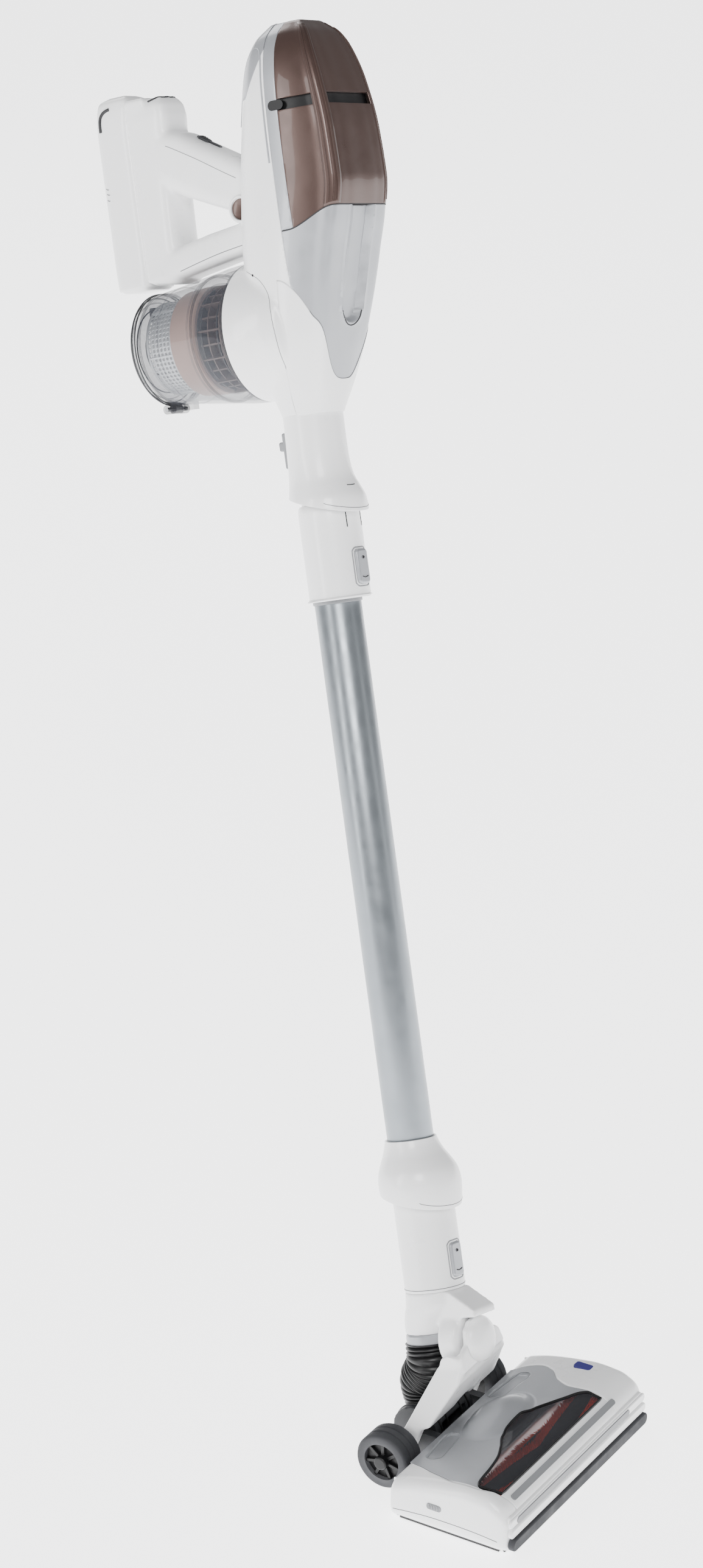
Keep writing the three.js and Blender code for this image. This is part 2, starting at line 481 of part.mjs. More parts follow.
function buildBody() {
  const envelope = loft(BODY);
  const drawnIn = (depth) => loft(
    BODY.map((level) => ({ ...level, z: level.z - (level.z > 405 ? depth : 0) })), depth);
  const inside = drawnIn(SHELL);
  const deep = drawnIn(5.4);
  const front = (low, high, seam = COVER_Y) => box([-90, -120, low], [90, seam, high]);

  const barrelProfile = [[0, -14], [40, -14], [48, -2], [51, 14], [52, RIM_Y], [0, RIM_Y]];
  const boreProfile = [[0, -8], [36, -8], [45, 2], [48, 14], [48.6, RIM_Y + 1], [0, RIM_Y + 1]];
  const barrel = turned(barrelProfile, 'y', [0, CUP_Z]);
  const barrelBore = turned(boreProfile, 'y', [0, CUP_Z]);
  const shell = envelope.add(barrel).subtract(inside).subtract(barrelBore)
    .subtract(front(150, 440)).subtract(rod('z', 18, 120, 180, [0, 0]));
  piece(unit, 'body_shell', shell, 'white');

  const skin = envelope.subtract(inside);
  const frame = skin.intersect(front(PANEL_TOP + GAP, 440, COVER_Y - GAP)).subtract(front(0, 440, STRIP_Y));
  piece(unit, 'cover_frame', frame, 'silver');
  const bronze = (low, high) => skin.intersect(front(low, high, STRIP_Y - GAP));
  const slotBottom = 356;
  const slotTop = 364.5;
  piece(unit, 'cover_lower', bronze(PANEL_TOP + GAP, slotBottom), 'bronze');
  piece(unit, 'cover_upper', bronze(slotTop, 440), 'bronze');
  const backing = loft(BODY, SHELL + GAP).intersect(front(slotBottom - 6, slotTop + 6, -36));
  const slot = loft(BODY, 1.6).intersect(front(slotBottom + GAP, slotTop - GAP, -36));
  piece(unit, 'vent_band', backing.add(slot).subtract(deep), 'black');

  const channel = box([-11, -120, 215], [11, 0, 300]).add(rod('y', 11, -120, 0, [0, 215]))
    .subtract(loft(BODY, 1.3));
  const panel = skin.intersect(front(150 + GAP, PANEL_TOP, COVER_Y - GAP)).subtract(channel);
  piece(unit, 'front_panel', panel, 'silver');

  const slant = new THREE.BoxGeometry(120, 120, 60).rotateX(0.29).translate(0, 0, 41);
  const rim = roundStack([[58, 27.5, 5], [76, 26.5, 5], [88, 22.3, 1], [136.6, 22, 1]])
    .subtract(solid(slant))
    .subtract(roundStack([[50, 24, 3.6], [74, 23.6, 3.4], [78, 17.5, 0], [140, 17.5, 0]]));
  piece(unit, 'nozzle', rim.subtract(box([-9, 18.5, 100], [9, 40, 128])), 'white');
  const latch = box([-8.4, 20.2, 100.6], [8.4, 25, 127.4]).add(box([-8.4, 24, 114], [8.4, 28.5, 121]));
  piece(unit, 'nozzle_latch', latch, 'grey');

  piece(unit, 'suction_motor', rod('z', 29, 304, 362, [0, MOTOR_AXIS_Y - 4]), 'steel');
  let fan = rod('z', 27, 290, 292.5, [0, MOTOR_AXIS_Y], 24)
    .add(rod('z', 6, 290, 302, [0, MOTOR_AXIS_Y], 12));
  for (let i = 0; i < 9; i += 1) {
    const blade = new THREE.BoxGeometry(20, 1.6, 9).translate(15.5, 0, 296.5)
      .rotateZ((i / 9) * Math.PI * 2);
    fan = fan.add(solid(blade.translate(0, MOTOR_AXIS_Y, 0)));
  }
  piece(unit, 'fan_impeller', fan, 'grey');
  piece(unit, 'motor_filter', rod('z', 25, 368, 382, [0, MOTOR_AXIS_Y - 7], 28), 'mesh');
  piece(unit, 'control_board', box([-24, -62, 300], [24, -60.2, 352]), 'board');
}

function buildCup() {
  const face = RIM_Y + GAP;
  const cup = turned([[49.5, face], [51.7, face], [52, 40], [50, 58], [45.5, 92], [42, CUP_END],
    [39.6, CUP_END], [43, 92], [47.5, 58], [49.5, 42]], 'y', [0, CUP_Z]);
  const pinZ = CUP_Z - 45;
  const pinY = CUP_END + 3.5;
  const pinHole = rod('x', 1.8, -20, 20, [pinY, pinZ], COARSE);
  const eyes = rod('x', 3.6, -12, 12, [pinY, pinZ], COARSE)
    .add(box([-12, 112, pinZ - 2], [12, CUP_END + 3, CUP_Z - 41]))
    .subtract(box([-5, CUP_END - 0.8, 140], [5, 140, 175])).subtract(pinHole)
    .subtract(rod('y', 41, 100, 140, [0, CUP_Z]));
  piece(unit, 'dust_cup', cup.add(eyes), 'clear');
  piece(unit, 'lid_hinge_pin', rod('x', 1.5, -12.5, 12.5, [pinY, pinZ], 12), 'steel');
  const knuckle = rod('x', 3.4, -4.6, 4.6, [pinY, pinZ], COARSE)
    .add(box([-4.6, CUP_END + 1.4, pinZ], [4.6, 127, CUP_Z - 34]));
  const lid = turned([[0, CUP_END + GAP], [39, CUP_END + GAP], [42.2, CUP_END + 1.2], [42.2, 126],
    [38, 129.5], [0, 130]], 'y', [0, CUP_Z])
    .subtract(box([-12.4, 110, 140], [12.4, 140, CUP_Z - 39])).add(knuckle).subtract(pinHole);
  piece(unit, 'cup_lid', lid, 'smoke');
  piece(unit, 'cup_latch', box([-7, 130 + GAP, CUP_Z + 22], [7, 134, CUP_Z + 33]), 'dark');

  const screen = [[33.4, 84.5], [36, 84.5], [34.6, 117], [0, 117], [0, 114.6], [32, 114.6]];
  piece(unit, 'mesh_screen', turned(screen, 'y', [0, CUP_Z]), 'mesh');
  const coreProfile = [[0, 38], [46, 38], [46, 42], [34, 46], [34, 66], [40, 70], [40, 83.7], [22, 83.7],
    [20, 98], [0, 98]];
  let core = turned(coreProfile, 'y', [0, CUP_Z]);
  for (let i = 0; i < 8; i += 1) {
    const fin = new THREE.BoxGeometry(2, 14, 10).translate(0, 49, 37).rotateY((i / 8) * Math.PI * 2);
    core = core.add(solid(fin.translate(0, 0, CUP_Z)));
  }
  piece(unit, 'cyclone_core', core, 'tan');
}

function buildHandle() {
  const halfWidth = 18;
  // The outline runs round the grip, the rear post and the lower bar, and the hand goes through the loop.
  const outline = [[12, 322], [32, 330], [52, 343], [70, 356], [82, 366], [84, 378], [92, 386],
    [104, 389.5], [120, 391], [120, 252], [96, 252], [60, 258], [30, 262], [20, 268]];
  const loop = [[35, 294], [43, 300], [87, 319.5], [94, 315], [94, 282], [89, 278], [42, 284], [35, 287]];
  const triggerPocket = box([-7, 30, 286], [7, 41, 313]);
  const sliderSlope = 0.6255;
  const sliderAt = [0, 64, 352.4];
  const sliderPocket = new THREE.BoxGeometry(9, 26, 5).rotateX(sliderSlope).translate(...sliderAt);
  const barrelSpace = [[0, -14], [52.3, -14], [52.3, RIM_Y + 2], [0, RIM_Y + 2]];
  const cupSpace = [[0, 30], [53, 30], [53, 42], [51.5, 58], [47, 92], [43.5, 125], [0, 125]];
  const handle = prismX(outline, -halfWidth, halfWidth).subtract(prismX(loop, -30, 30))
    .subtract(triggerPocket).subtract(solid(sliderPocket)).subtract(loft(BODY, -GAP))
    .subtract(turned(barrelSpace, 'y', [0, CUP_Z])).subtract(turned(cupSpace, 'y', [0, CUP_Z]));
  piece(unit, 'handle_shell', handle, 'white');

  const pack = loft([
    { z: 250, half: 15, front: -124, rear: -149, square: 0.5 },
    { z: 255, half: 18, front: -120.4, rear: -153, square: 0.6 },
    { z: 380, half: 18, front: -120.4, rear: -153, square: 0.6 },
    { z: 392, half: 16, front: -120.4, rear: -151, square: 0.5 },
    { z: 397, half: 12, front: -124, rear: -146, square: 0.5 }]);
  piece(unit, 'battery_pack', pack.subtract(box([-6.5, 140, 381.5], [6.5, 168, 410]))
    .subtract(box([-5, 148, 264], [5, 158, 274])), 'white');
  piece(unit, 'battery_release', box([-6, 140.6, 384.6], [6, 151.5, 395]), 'dark');
  piece(unit, 'charge_socket', box([-4.5, 148.4, 264.6], [4.5, 153.2, 273.4])
    .subtract(rod('y', 2.2, 150, 158, [0, 269], 12)), 'black');

  const fingerHollow = rod('x', 9, -10, 10, [44, 294], COARSE);
  piece(unit, 'trigger', box([-6.4, 30.6, 288], [6.4, 40.4, 304]).subtract(fingerHollow), 'bronze');
  piece(unit, 'trigger_spring', rod('z', 2.4, 304.6, 312.4, [0, 35.5], 12), 'steel');
  const slider = new THREE.BoxGeometry(8.2, 11, 4.4).rotateX(sliderSlope).translate(...sliderAt);
  piece(unit, 'mode_slider', solid(slider), 'dark');
}

buildHead();
buildBrush();
buildWheels();
buildNeck();
buildHose();
buildWandFoot();
buildCollar();
buildBody();
buildCup();
buildHandle();

export default vacuum;
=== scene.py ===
# Visual model of the cordless stick vacuum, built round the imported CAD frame.
# Shapes are written in millimetres in the frame of the assembly they belong to, and placed in metres.
import json
import math
import random
from functools import lru_cache, partial

import bmesh
import bpy
import numpy as np
from mathutils import Matrix, Vector
from mathutils.bvhtree import BVHTree

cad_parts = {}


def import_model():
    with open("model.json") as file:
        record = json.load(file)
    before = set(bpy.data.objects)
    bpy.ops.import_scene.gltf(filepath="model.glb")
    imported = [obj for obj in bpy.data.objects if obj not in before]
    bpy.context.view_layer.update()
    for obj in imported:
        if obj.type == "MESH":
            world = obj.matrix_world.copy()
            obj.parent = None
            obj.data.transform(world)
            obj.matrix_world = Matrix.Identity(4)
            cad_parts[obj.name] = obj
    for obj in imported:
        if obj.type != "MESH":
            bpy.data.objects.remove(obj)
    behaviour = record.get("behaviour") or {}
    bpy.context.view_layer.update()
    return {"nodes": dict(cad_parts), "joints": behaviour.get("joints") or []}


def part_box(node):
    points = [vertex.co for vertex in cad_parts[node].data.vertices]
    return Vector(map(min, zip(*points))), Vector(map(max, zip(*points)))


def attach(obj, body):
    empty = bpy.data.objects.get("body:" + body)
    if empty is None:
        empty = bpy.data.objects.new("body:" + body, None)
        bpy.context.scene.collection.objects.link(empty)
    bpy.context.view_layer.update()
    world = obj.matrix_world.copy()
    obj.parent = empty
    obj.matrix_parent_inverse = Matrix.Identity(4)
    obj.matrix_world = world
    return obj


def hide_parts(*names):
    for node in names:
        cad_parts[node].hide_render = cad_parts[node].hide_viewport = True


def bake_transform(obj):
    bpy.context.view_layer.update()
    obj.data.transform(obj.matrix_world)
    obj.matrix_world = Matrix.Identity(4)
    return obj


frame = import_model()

TAU = 2 * math.pi
MM = 0.001
TUBE_TOP = 556  # top of the visible tube above the roll pivot
SIDES = ((-1, "near"), (1, "far"))
nodes = frame["nodes"]
joints = {joint["name"]: joint for joint in frame["joints"]}


# ---- frames of the assemblies
def frame_of(origin, across, along):
    """A millimetre frame with its X and Y axes along the given directions."""
    x, y = Vector(across).normalized(), Vector(along).normalized()
    turn = Matrix((x, y, x.cross(y))).transposed().to_4x4()
    turn.translation = Vector(origin)
    return turn @ Matrix.Scale(MM, 4)


roll_axis = Vector(joints["neck_roll"]["axis"])
wand_axis = Vector(joints["wand_release"]["axis"])
pivot = Vector(joints["neck_roll"]["pos_m"])
HEAD = Matrix.Scale(MM, 4)
NECK = frame_of(joints["neck_pitch"]["pos_m"], (1, 0, 0), roll_axis)
WAND = frame_of(pivot, roll_axis.cross(wand_axis), roll_axis)
UNIT = frame_of(pivot + wand_axis * TUBE_TOP * MM, roll_axis.cross(wand_axis), roll_axis)


# ---- materials
def ramp(tree, value, low, high, out_low, out_high):
    node = tree.nodes.new("ShaderNodeMapRange")
    for socket, number in zip(node.inputs[1:5], (low, high, out_low, out_high)):
        socket.default_value = number
    tree.links.new(value, node.inputs[0])
    return node.outputs[0]


def material(name, colour, rough, metal=0.0, coat=0.0, grain=420, bump=0.02, tint=0.05, edge_highlight=0.0, clear=None,
        brushed=None, flake=0.0, glow=0.0, specular=0.5):
    """Moulded, lacquered or drawn material: cloudy colour, smudges, surface grain and painted highlights on
    sharp edges.
    """
    made = bpy.data.materials.new(name)
    made.use_nodes = True
    tree = made.node_tree
    shader = tree.nodes["Principled BSDF"]
    link, new = tree.links.new, tree.nodes.new

    def noise(scale, detail, source):
        node = new("ShaderNodeTexNoise")
        node.inputs["Scale"].default_value = scale
        node.inputs["Detail"].default_value = detail
        link(source, node.inputs["Vector"])
        return node.outputs["Fac"]

    place = new("ShaderNodeTexCoord").outputs["Object"]
    lined = place
    if brushed:
        turn = new("ShaderNodeMapping")
        turn.vector_type = "TEXTURE"
        turn.inputs["Rotation"].default_value = brushed[0].to_3x3().normalized().to_euler()
        turn.inputs["Scale"].default_value = brushed[1]
        link(place, turn.inputs["Vector"])
        lined = turn.outputs["Vector"]
    cloud = noise(16, 4, place)
    smudge = noise(60, 6, place)
    fine = noise(grain, 3, lined)

    tone = new("ShaderNodeMix")
    tone.data_type = "RGBA"
    tone.inputs[6].default_value = (*[c * (1 - tint) for c in colour], 1)
    tone.inputs[7].default_value = (*[min(1, c * (1 + tint)) for c in colour], 1)
    link(ramp(tree, cloud, 0.3, 0.7, 0, 1), tone.inputs[0])
    paint = tone.outputs[2]
    # Sharp edges, found by pointiness, are painted lighter in random patches: a painted highlight.
    if edge_highlight:
        edge = new("ShaderNodeNewGeometry").outputs["Pointiness"]
        edge_lit = new("ShaderNodeMix")
        edge_lit.data_type = "RGBA"
        edge_lit.inputs[7].default_value = (*[min(1, c * 1.6 + 0.12) for c in colour], 1)
        link(paint, edge_lit.inputs[6])
        shape = new("ShaderNodeMath")
        shape.operation = "MULTIPLY"
        link(ramp(tree, edge, 0.54, 0.62, 0, edge_highlight), shape.inputs[0])
        link(ramp(tree, smudge, 0.4, 0.6, 0.2, 1), shape.inputs[1])
        link(shape.outputs[0], edge_lit.inputs[0])
        paint = edge_lit.outputs[2]
    link(paint, shader.inputs["Base Color"])

    link(ramp(tree, smudge, 0.3, 0.7, rough * 0.82, min(1, rough * 1.2)), shader.inputs["Roughness"])
    relief = new("ShaderNodeBump")
    relief.inputs["Strength"].default_value = 0.5
    relief.inputs["Distance"].default_value = bump * MM
    link(fine, relief.inputs["Height"])
    link(relief.outputs["Normal"], shader.inputs["Normal"])
    if flake:
        cells = new("ShaderNodeTexVoronoi")
        cells.inputs["Scale"].default_value = 1400
        link(place, cells.inputs["Vector"])
        link(ramp(tree, cells.outputs["Distance"], 0, 1, metal - flake, metal), shader.inputs["Metallic"])
    else:
        shader.inputs["Metallic"].default_value = metal
    shader.inputs["Coat Weight"].default_value = coat
    shader.inputs["Coat Roughness"].default_value = 0.05
    shader.inputs["Specular IOR Level"].default_value = specular
    if clear:
        facing = new("ShaderNodeLayerWeight")
        facing.inputs["Blend"].default_value = 0.35
        link(ramp(tree, facing.outputs["Facing"], 0, 1, *clear), shader.inputs["Alpha"])
    if glow:
        shader.inputs["Emission Color"].default_value = (*colour, 1)
        shader.inputs["Emission Strength"].default_value = glow
    made.diffuse_color = (*colour, 1)
    return made


WHITE = material("white_gloss", (0.86, 0.862, 0.865), 0.3, coat=0.25, tint=0.012, bump=0.012)
SILVER = material("silver_lacquer", (0.33, 0.34, 0.36), 0.36, 0.45, coat=0.2, flake=0.2, tint=0.03, edge_highlight=0.3)
GREY = material("grey_moulding", (0.20, 0.205, 0.215), 0.42, tint=0.05, edge_highlight=0.3)
DARK = material("dark_moulding", (0.020, 0.021, 0.024), 0.46, tint=0.12, edge_highlight=0.35, bump=0.03)
BLACK = material("black_moulding", (0.004, 0.004, 0.0045), 0.4, tint=0.15, edge_highlight=0.05, bump=0.03,
    specular=0.35)
RUBBER = material("rubber", (0.022, 0.023, 0.027), 0.72, tint=0.15, bump=0.06, grain=260, edge_highlight=0.5)
BRONZE = material("bronze_lacquer", (0.072, 0.044, 0.037), 0.33, 0.55, coat=0.2, flake=0.03, tint=0.04,
    bump=0.0008)
TUBE = material("anodised_tube", (0.24, 0.262, 0.282), 0.34, 0.8, grain=900, bump=0.015, tint=0.04,
    brushed=(WAND, (1, 1, 60)))
STEEL = material("steel", (0.55, 0.56, 0.57), 0.26, 1.0, tint=0.06, grain=700, bump=0.01)
SMOKE = material("smoke_clear", (0.035, 0.036, 0.042), 0.06, clear=(0.26, 0.85), bump=0.004, grain=60)
CLEAR = material("clear_moulding", (0.10, 0.105, 0.125), 0.05, clear=(0.08, 0.6), bump=0.004, grain=60)
TAN = material("tan_moulding", (0.42, 0.29, 0.245), 0.4, tint=0.08, edge_highlight=0.3)
COPPER = material("cyclone_brown", (0.085, 0.06, 0.052), 0.38, 0.2, tint=0.12, edge_highlight=0.4)
MESH = material("screen_metal", (0.62, 0.64, 0.66), 0.34, 0.55, tint=0.06)
BRISTLE = material("bristle", (0.85, 0.075, 0.02), 0.8, tint=0.3, grain=900, bump=0.1)
LAMP = material("lamp_lens", (0.02, 0.018, 0.16), 0.14, coat=0.3, glow=0.1, tint=0.2)
BOARD = material("circuit_board", (0.02, 0.12, 0.06), 0.45, tint=0.3, grain=160, bump=0.15)
MOTOR = material("motor_case", (0.33, 0.34, 0.36), 0.32, 0.9, tint=0.1, grain=600)
INK = material("seam_shadow", (0.02, 0.02, 0.022), 0.7, tint=0.2)
SOFT_INK = material("faint_seam", (0.13, 0.132, 0.14), 0.6, tint=0.1)


# ---- solids, as (points, faces)
def curve(points, per=8, closed=False):
    """A smooth curve through the points, of any dimension."""
    p = np.array(points, float)
    n = len(p)
    out = []
    for i in range(n if closed else n - 1):
        a, b, c, d = (p[(i + k) % n] if closed else p[min(max(i + k, 0), n - 1)] for k in (-1, 0, 1, 2))
        for t in np.arange(per) / per:
            out.append(0.5 * (2 * b + (c - a) * t + (2 * a - 5 * b + 4 * c - d) * t ** 2
                + (3 * b - a - 3 * c + d) * t ** 3))
    if not closed:
        out.append(p[-1])
    return np.array(out)


def rings(rows, closed=True, capped=True):
    """Faces between rows of points. Closed rows run round a body, and capped ones close its two ends."""
    rows = [np.asarray(row, float) for row in rows]
    n = len(rows[0])
    faces = []
    for r in range(len(rows) - 1):
        for i in range(n if closed else n - 1):
            a, b = r * n + i, r * n + (i + 1) % n
            faces.append((a, b, b + n, a + n))
    points = np.vstack(rows)
    if capped:
        faces += [tuple(range(n))[::-1], tuple(range(len(points) - n, len(points)))]
    return points, faces


def lathe(profile, axis="z", centre=(0, 0), sides=72, loop=True):
    """A body turned about an axis, from a closed profile of (radius, distance along the axis)."""
    angle = np.arange(sides) / sides * TAU
    rows = []
    for radius, along in (list(profile) + [profile[0]] if loop else profile):
        u, v = radius * np.cos(angle) + centre[0], radius * np.sin(angle) + centre[1]
        w = np.full(sides, float(along))
        rows.append(np.stack({"x": (w, u, v), "y": (u, w, v), "z": (u, v, w)}[axis], 1))
    return rings(rows, capped=False)


def spun(profile, axis="z", centre=(0, 0), sides=72):
    """A solid turned body: its profile starts and ends on the axis."""
    return lathe(profile, axis, centre, sides, loop=False)


def stack(levels, sides=72):
    """A stack of round sections (height, radius, forward offset), smoothed along its length."""
    angle = np.arange(sides) / sides * TAU
    return rings([np.stack((r * np.cos(angle), r * np.sin(angle) - forward, np.full(sides, z)), 1) for z, r,
        forward in curve(levels, 6)])


def pipe(path, across, along=None, sides=20, up=(1, 0, 0)):
    """A bar of elliptical section along a path. The sizes are numbers or one number for each point."""
    path = np.array(path, float)
    along = across if along is None else along
    across, along = (np.broadcast_to(np.array(s, float), len(path)) for s in (across, along))
    angle = np.arange(sides) / sides * TAU
    rows = []
    for i, at in enumerate(path):
        tangent = path[min(i + 1, len(path) - 1)] - path[max(i - 1, 0)]
        tangent /= np.linalg.norm(tangent)
        side = np.array(up, float) - tangent * np.dot(up, tangent)
        side /= np.linalg.norm(side)
        other = np.cross(tangent, side)
        rows.append(at + np.outer(np.cos(angle) * across[i], side)
            + np.outer(np.sin(angle) * along[i], other))
    return rings(rows)


def prism(outline, axis, low, high):
    """A closed outline pushed along an axis: in Y and Z for x, in X and Z for y, in X and Y for z."""
    def lift(w):
        return [{"x": (w, u, v), "y": (u, w, v), "z": (u, v, w)}[axis] for u, v in outline]
    return rings([lift(low), lift(high)])


def rounded(u0, u1, v0, v1, radius, per=5):
    """The outline of a rectangle with round corners."""
    points = []
    for k, (u, v) in enumerate(((u1 - radius, v1 - radius), (u0 + radius, v1 - radius),
            (u0 + radius, v0 + radius), (u1 - radius, v0 + radius))):
        for i in range(per + 1):
            a = (k + i / per) * TAU / 4
            points.append((u + radius * math.cos(a), v + radius * math.sin(a)))
    return points


def squared(values, power):
    """Sines or cosines bulged outward, so that a round section turns squarish."""
    return np.sign(values) * np.abs(values) ** power


def block(low, high):
    return prism([(low[0], low[1]), (high[0], low[1]), (high[0], high[1]), (low[0], high[1])], "z", low[2],
        high[2])


def moved(solid, turn=0.0, axis="X", at=(0, 0, 0)):
    points = np.array(solid[0], float) @ np.array(Matrix.Rotation(turn, 3, axis)).T + np.array(at, float)
    return points, solid[1]


def joined(*solids):
    points, faces, count = [], [], 0
    for p, f in solids:
        points.append(np.array(p, float))
        faces += [tuple(i + count for i in face) for face in f]
        count += len(p)
    return np.vstack(points), faces


# ---- pieces
def cut_off(work, point, normal):
    """Cuts off what lies beyond a plane, and returns the edges of the cut."""
    cut = bmesh.ops.bisect_plane(work, geom=work.verts[:] + work.edges[:] + work.faces[:], plane_co=point,
        plane_no=normal, clear_outer=True)
    return [edge for edge in cut["geom_cut"] if isinstance(edge, bmesh.types.BMEdge)]


def mesh_of(solid, where, inside=None, cuts=()):
    """A mesh in metres. Each cut is a point and an outward normal: what lies beyond it is cut off."""
    data = bpy.data.meshes.new("made")
    data.from_pydata([tuple(p) for p in np.array(solid[0], float)], [], solid[1])
    work = bmesh.new()
    work.from_mesh(data)
    bmesh.ops.remove_doubles(work, verts=work.verts, dist=0.01)
    bmesh.ops.dissolve_degenerate(work, edges=work.edges, dist=0.005)
    for point, normal in cuts:
        cut_off(work, point, normal)
    bmesh.ops.recalc_face_normals(work, faces=work.faces)
    if inside is not None:
        facing = sum((f.calc_center_median() - Vector(inside)).dot(f.normal) * f.calc_area()
            for f in work.faces)
        if facing < 0:
            bmesh.ops.reverse_faces(work, faces=work.faces)
    work.to_mesh(data)
    work.free()
    data.transform(where)
    return data


def fused(solids, where, voxel, rounds, cuts=()):
    """Solids melted into one mesh with soft fillets where they meet."""
    data = mesh_of(joined(*solids), where)
    scratch = bpy.data.objects.new("scratch", data)
    bpy.context.scene.collection.objects.link(scratch)
    melt = scratch.modifiers.new("melt", "REMESH")
    melt.mode = "VOXEL"
    melt.voxel_size = voxel * MM
    relax = scratch.modifiers.new("relax", "SMOOTH")
    relax.factor, relax.iterations = 0.5, rounds
    result = bpy.data.meshes.new_from_object(scratch.evaluated_get(bpy.context.evaluated_depsgraph_get()))
    bpy.data.objects.remove(scratch)
    if cuts:
        work = bmesh.new()
        work.from_mesh(result)
        for point, normal in cuts:
            cut_off(work, where @ Vector(point), where.to_3x3() @ Vector(normal))
        work.to_mesh(result)
        work.free()
    return result


def show(name, data, body, look, stands_for=(), thick=0.0, bevel=0.0, sharp=35, segments=3, blend=None):
    """Makes the piece, with its wall and edge rounding, its material and the body it rides on; a piece given
    blend is left in place on no body.
    """
    thing = bpy.data.objects.new(name, data)
    data.name = name
    bpy.context.scene.collection.objects.link(thing)
    data.materials.clear()
    data.materials.append(look)
    data.polygons.foreach_set("use_smooth", [True] * len(data.polygons))
    data.set_sharp_from_angle(angle=math.radians(sharp))
    if thick:
        wall = thing.modifiers.new("wall", "SOLIDIFY")
        wall.thickness, wall.offset, wall.use_even_offset = thick * MM, -1, False
    if bevel:
        edge = thing.modifiers.new("edge", "BEVEL")
        edge.width, edge.segments, edge.limit_method = bevel * MM, segments, "ANGLE"
        edge.angle_limit, edge.use_clamp_overlap, edge.harden_normals = math.radians(40), True, False
    if stands_for:
        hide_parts(*stands_for)
    if blend:
        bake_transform(thing)
    else:
        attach(thing, body)
    return thing


def make(name, solid, look, inside=None, cuts=(), where=UNIT, body="hand_unit", **rest):
    """A piece from a solid, on the hand unit and in its frame unless told otherwise."""
    return show(name, mesh_of(solid, where, inside, cuts), body, look, **rest)


make_cup = partial(make, body="cup")
make_lid = partial(make, body="lid")
make_battery = partial(make, body="battery")
make_collar = partial(make, body="wand")
make_wand = partial(make, where=WAND, body="wand")
make_swivel = partial(make, where=WAND, body="swivel")
make_neck = partial(make, where=NECK, body="neck")
make_head = partial(make, where=HEAD, body="floor_head")


@lru_cache
def surface(thing):
    """The surface of a piece, for drawing lines on."""
    work = bmesh.new()
    work.from_mesh(thing.data)
    tree = BVHTree.FromBMesh(work)
    work.free()
    return tree


RAY_BACK = 0.08  # metres a ray starts in front of a drawn line
OUT = 60  # lines drawn on the hand unit and wand start this far out


def beside(side, places, out=OUT):
    """Points out to one side, given as (y, z), to be drawn back onto a surface."""
    return [(side * out, y, z) for y, z in places]


def before(places):
    """Points in front, given as (x, z), to be drawn back onto a surface."""
    return [(x, -OUT, z) for x, z in places]


def line_on(name, thing, points, facing, look=INK, radius=0.3, step=6, closed=False, where=UNIT,
        body="hand_unit"):
    """A fine bead along a line drawn on a surface, seen against the given direction."""
    spin = where.to_3x3()
    toward = (spin @ Vector(facing)).normalized()
    path = []
    for point in curve(points, step, closed):
        at = where @ Vector(point)
        hit = surface(thing).ray_cast(at - toward * RAY_BACK, toward, 2 * RAY_BACK)[0]
        if hit is not None:
            path.append(where.inverted() @ hit)
    if len(path) < 3:
        raise RuntimeError(f"{name}: the line misses its surface")
    if closed:
        path.append(path[0])
    return make(name, pipe(path, radius, sides=8, up=tuple(Vector(facing))), look, where=where, body=body)


# ---- outline of the hand unit
# Height above the tube, half width, reach to the front and to the rear, and how square the section is.
LEVELS = np.array([(137, 22, 24, -22, 0), (160, 30, 33, -27, .35), (197, 38, 45, -30, .7),
    (251, 42, 60, -31, 1), (277, 42.5, 68.5, -29, 1), (305, 42.5, 74, -25, 1), (338, 42, 73, -19, 1),
    (374, 40, 68, -11, 1), (397, 36, 62, -4, 1), (411, 29, 56, 4, 1), (421, 17, 47, 15, 1)], float)
HALF_OUTLINE = [(0, 1), (.4, 1), (.76, .96), (.87, .68), (.95, .42), (1, .12), (.99, -.2), (.9, -.55),
    (.68, -.82), (.36, -.96), (0, -1)]
OUTLINE = curve(HALF_OUTLINE + [(-x, f) for x, f in HALF_OUTLINE[-2:0:-1]], 8, closed=True)
COVER_Y = -24.7  # seam between the white shell and the covers
BRONZE_Y = -35  # seam between the silver strip and the lacquered covers
BODY_TOP = 421
CROWN_RISE = 2.2  # height of the rounding over the body top
CROWN = BODY_TOP + CROWN_RISE
SHELL_WALL = 2.4
CUP_Z = 204  # dust cup axis
RIM_Y = 33  # joint between the body and the dust cup
SLOT = (356, 364.5)  # dark slot across the covers
RIDGE = 17  # outline column of the ridge between front and side


def eased(x, y):
    """A smooth curve through the values that never overshoots them."""
    x, y = np.array(x, float), np.array(y, float)
    step = np.diff(x)
    rise = np.diff(y) / step
    slope = np.zeros(len(x))
    slope[0], slope[-1] = rise[0], rise[-1]
    for i in range(1, len(x) - 1):
        if rise[i - 1] * rise[i] > 0:
            a, b = 2 * step[i] + step[i - 1], step[i] + 2 * step[i - 1]
            slope[i] = (a + b) / (a / rise[i - 1] + b / rise[i])

    def value(at):
        at = np.asarray(at, float)
        i = np.clip(np.searchsorted(x, at) - 1, 0, len(x) - 2)
        t = (at - x[i]) / step[i]
        return ((1 + 2 * t) * (1 - t) ** 2 * y[i] + t * (1 - t) ** 2 * step[i] * slope[i] + t * t
            * (3 - 2 * t) * y[i + 1] + t * t * (t - 1) * step[i] * slope[i + 1])
    return value


half_at, front_at, rear_at, square_at = (eased(LEVELS[:, 0], LEVELS[:, k]) for k in (1, 2, 3, 4))


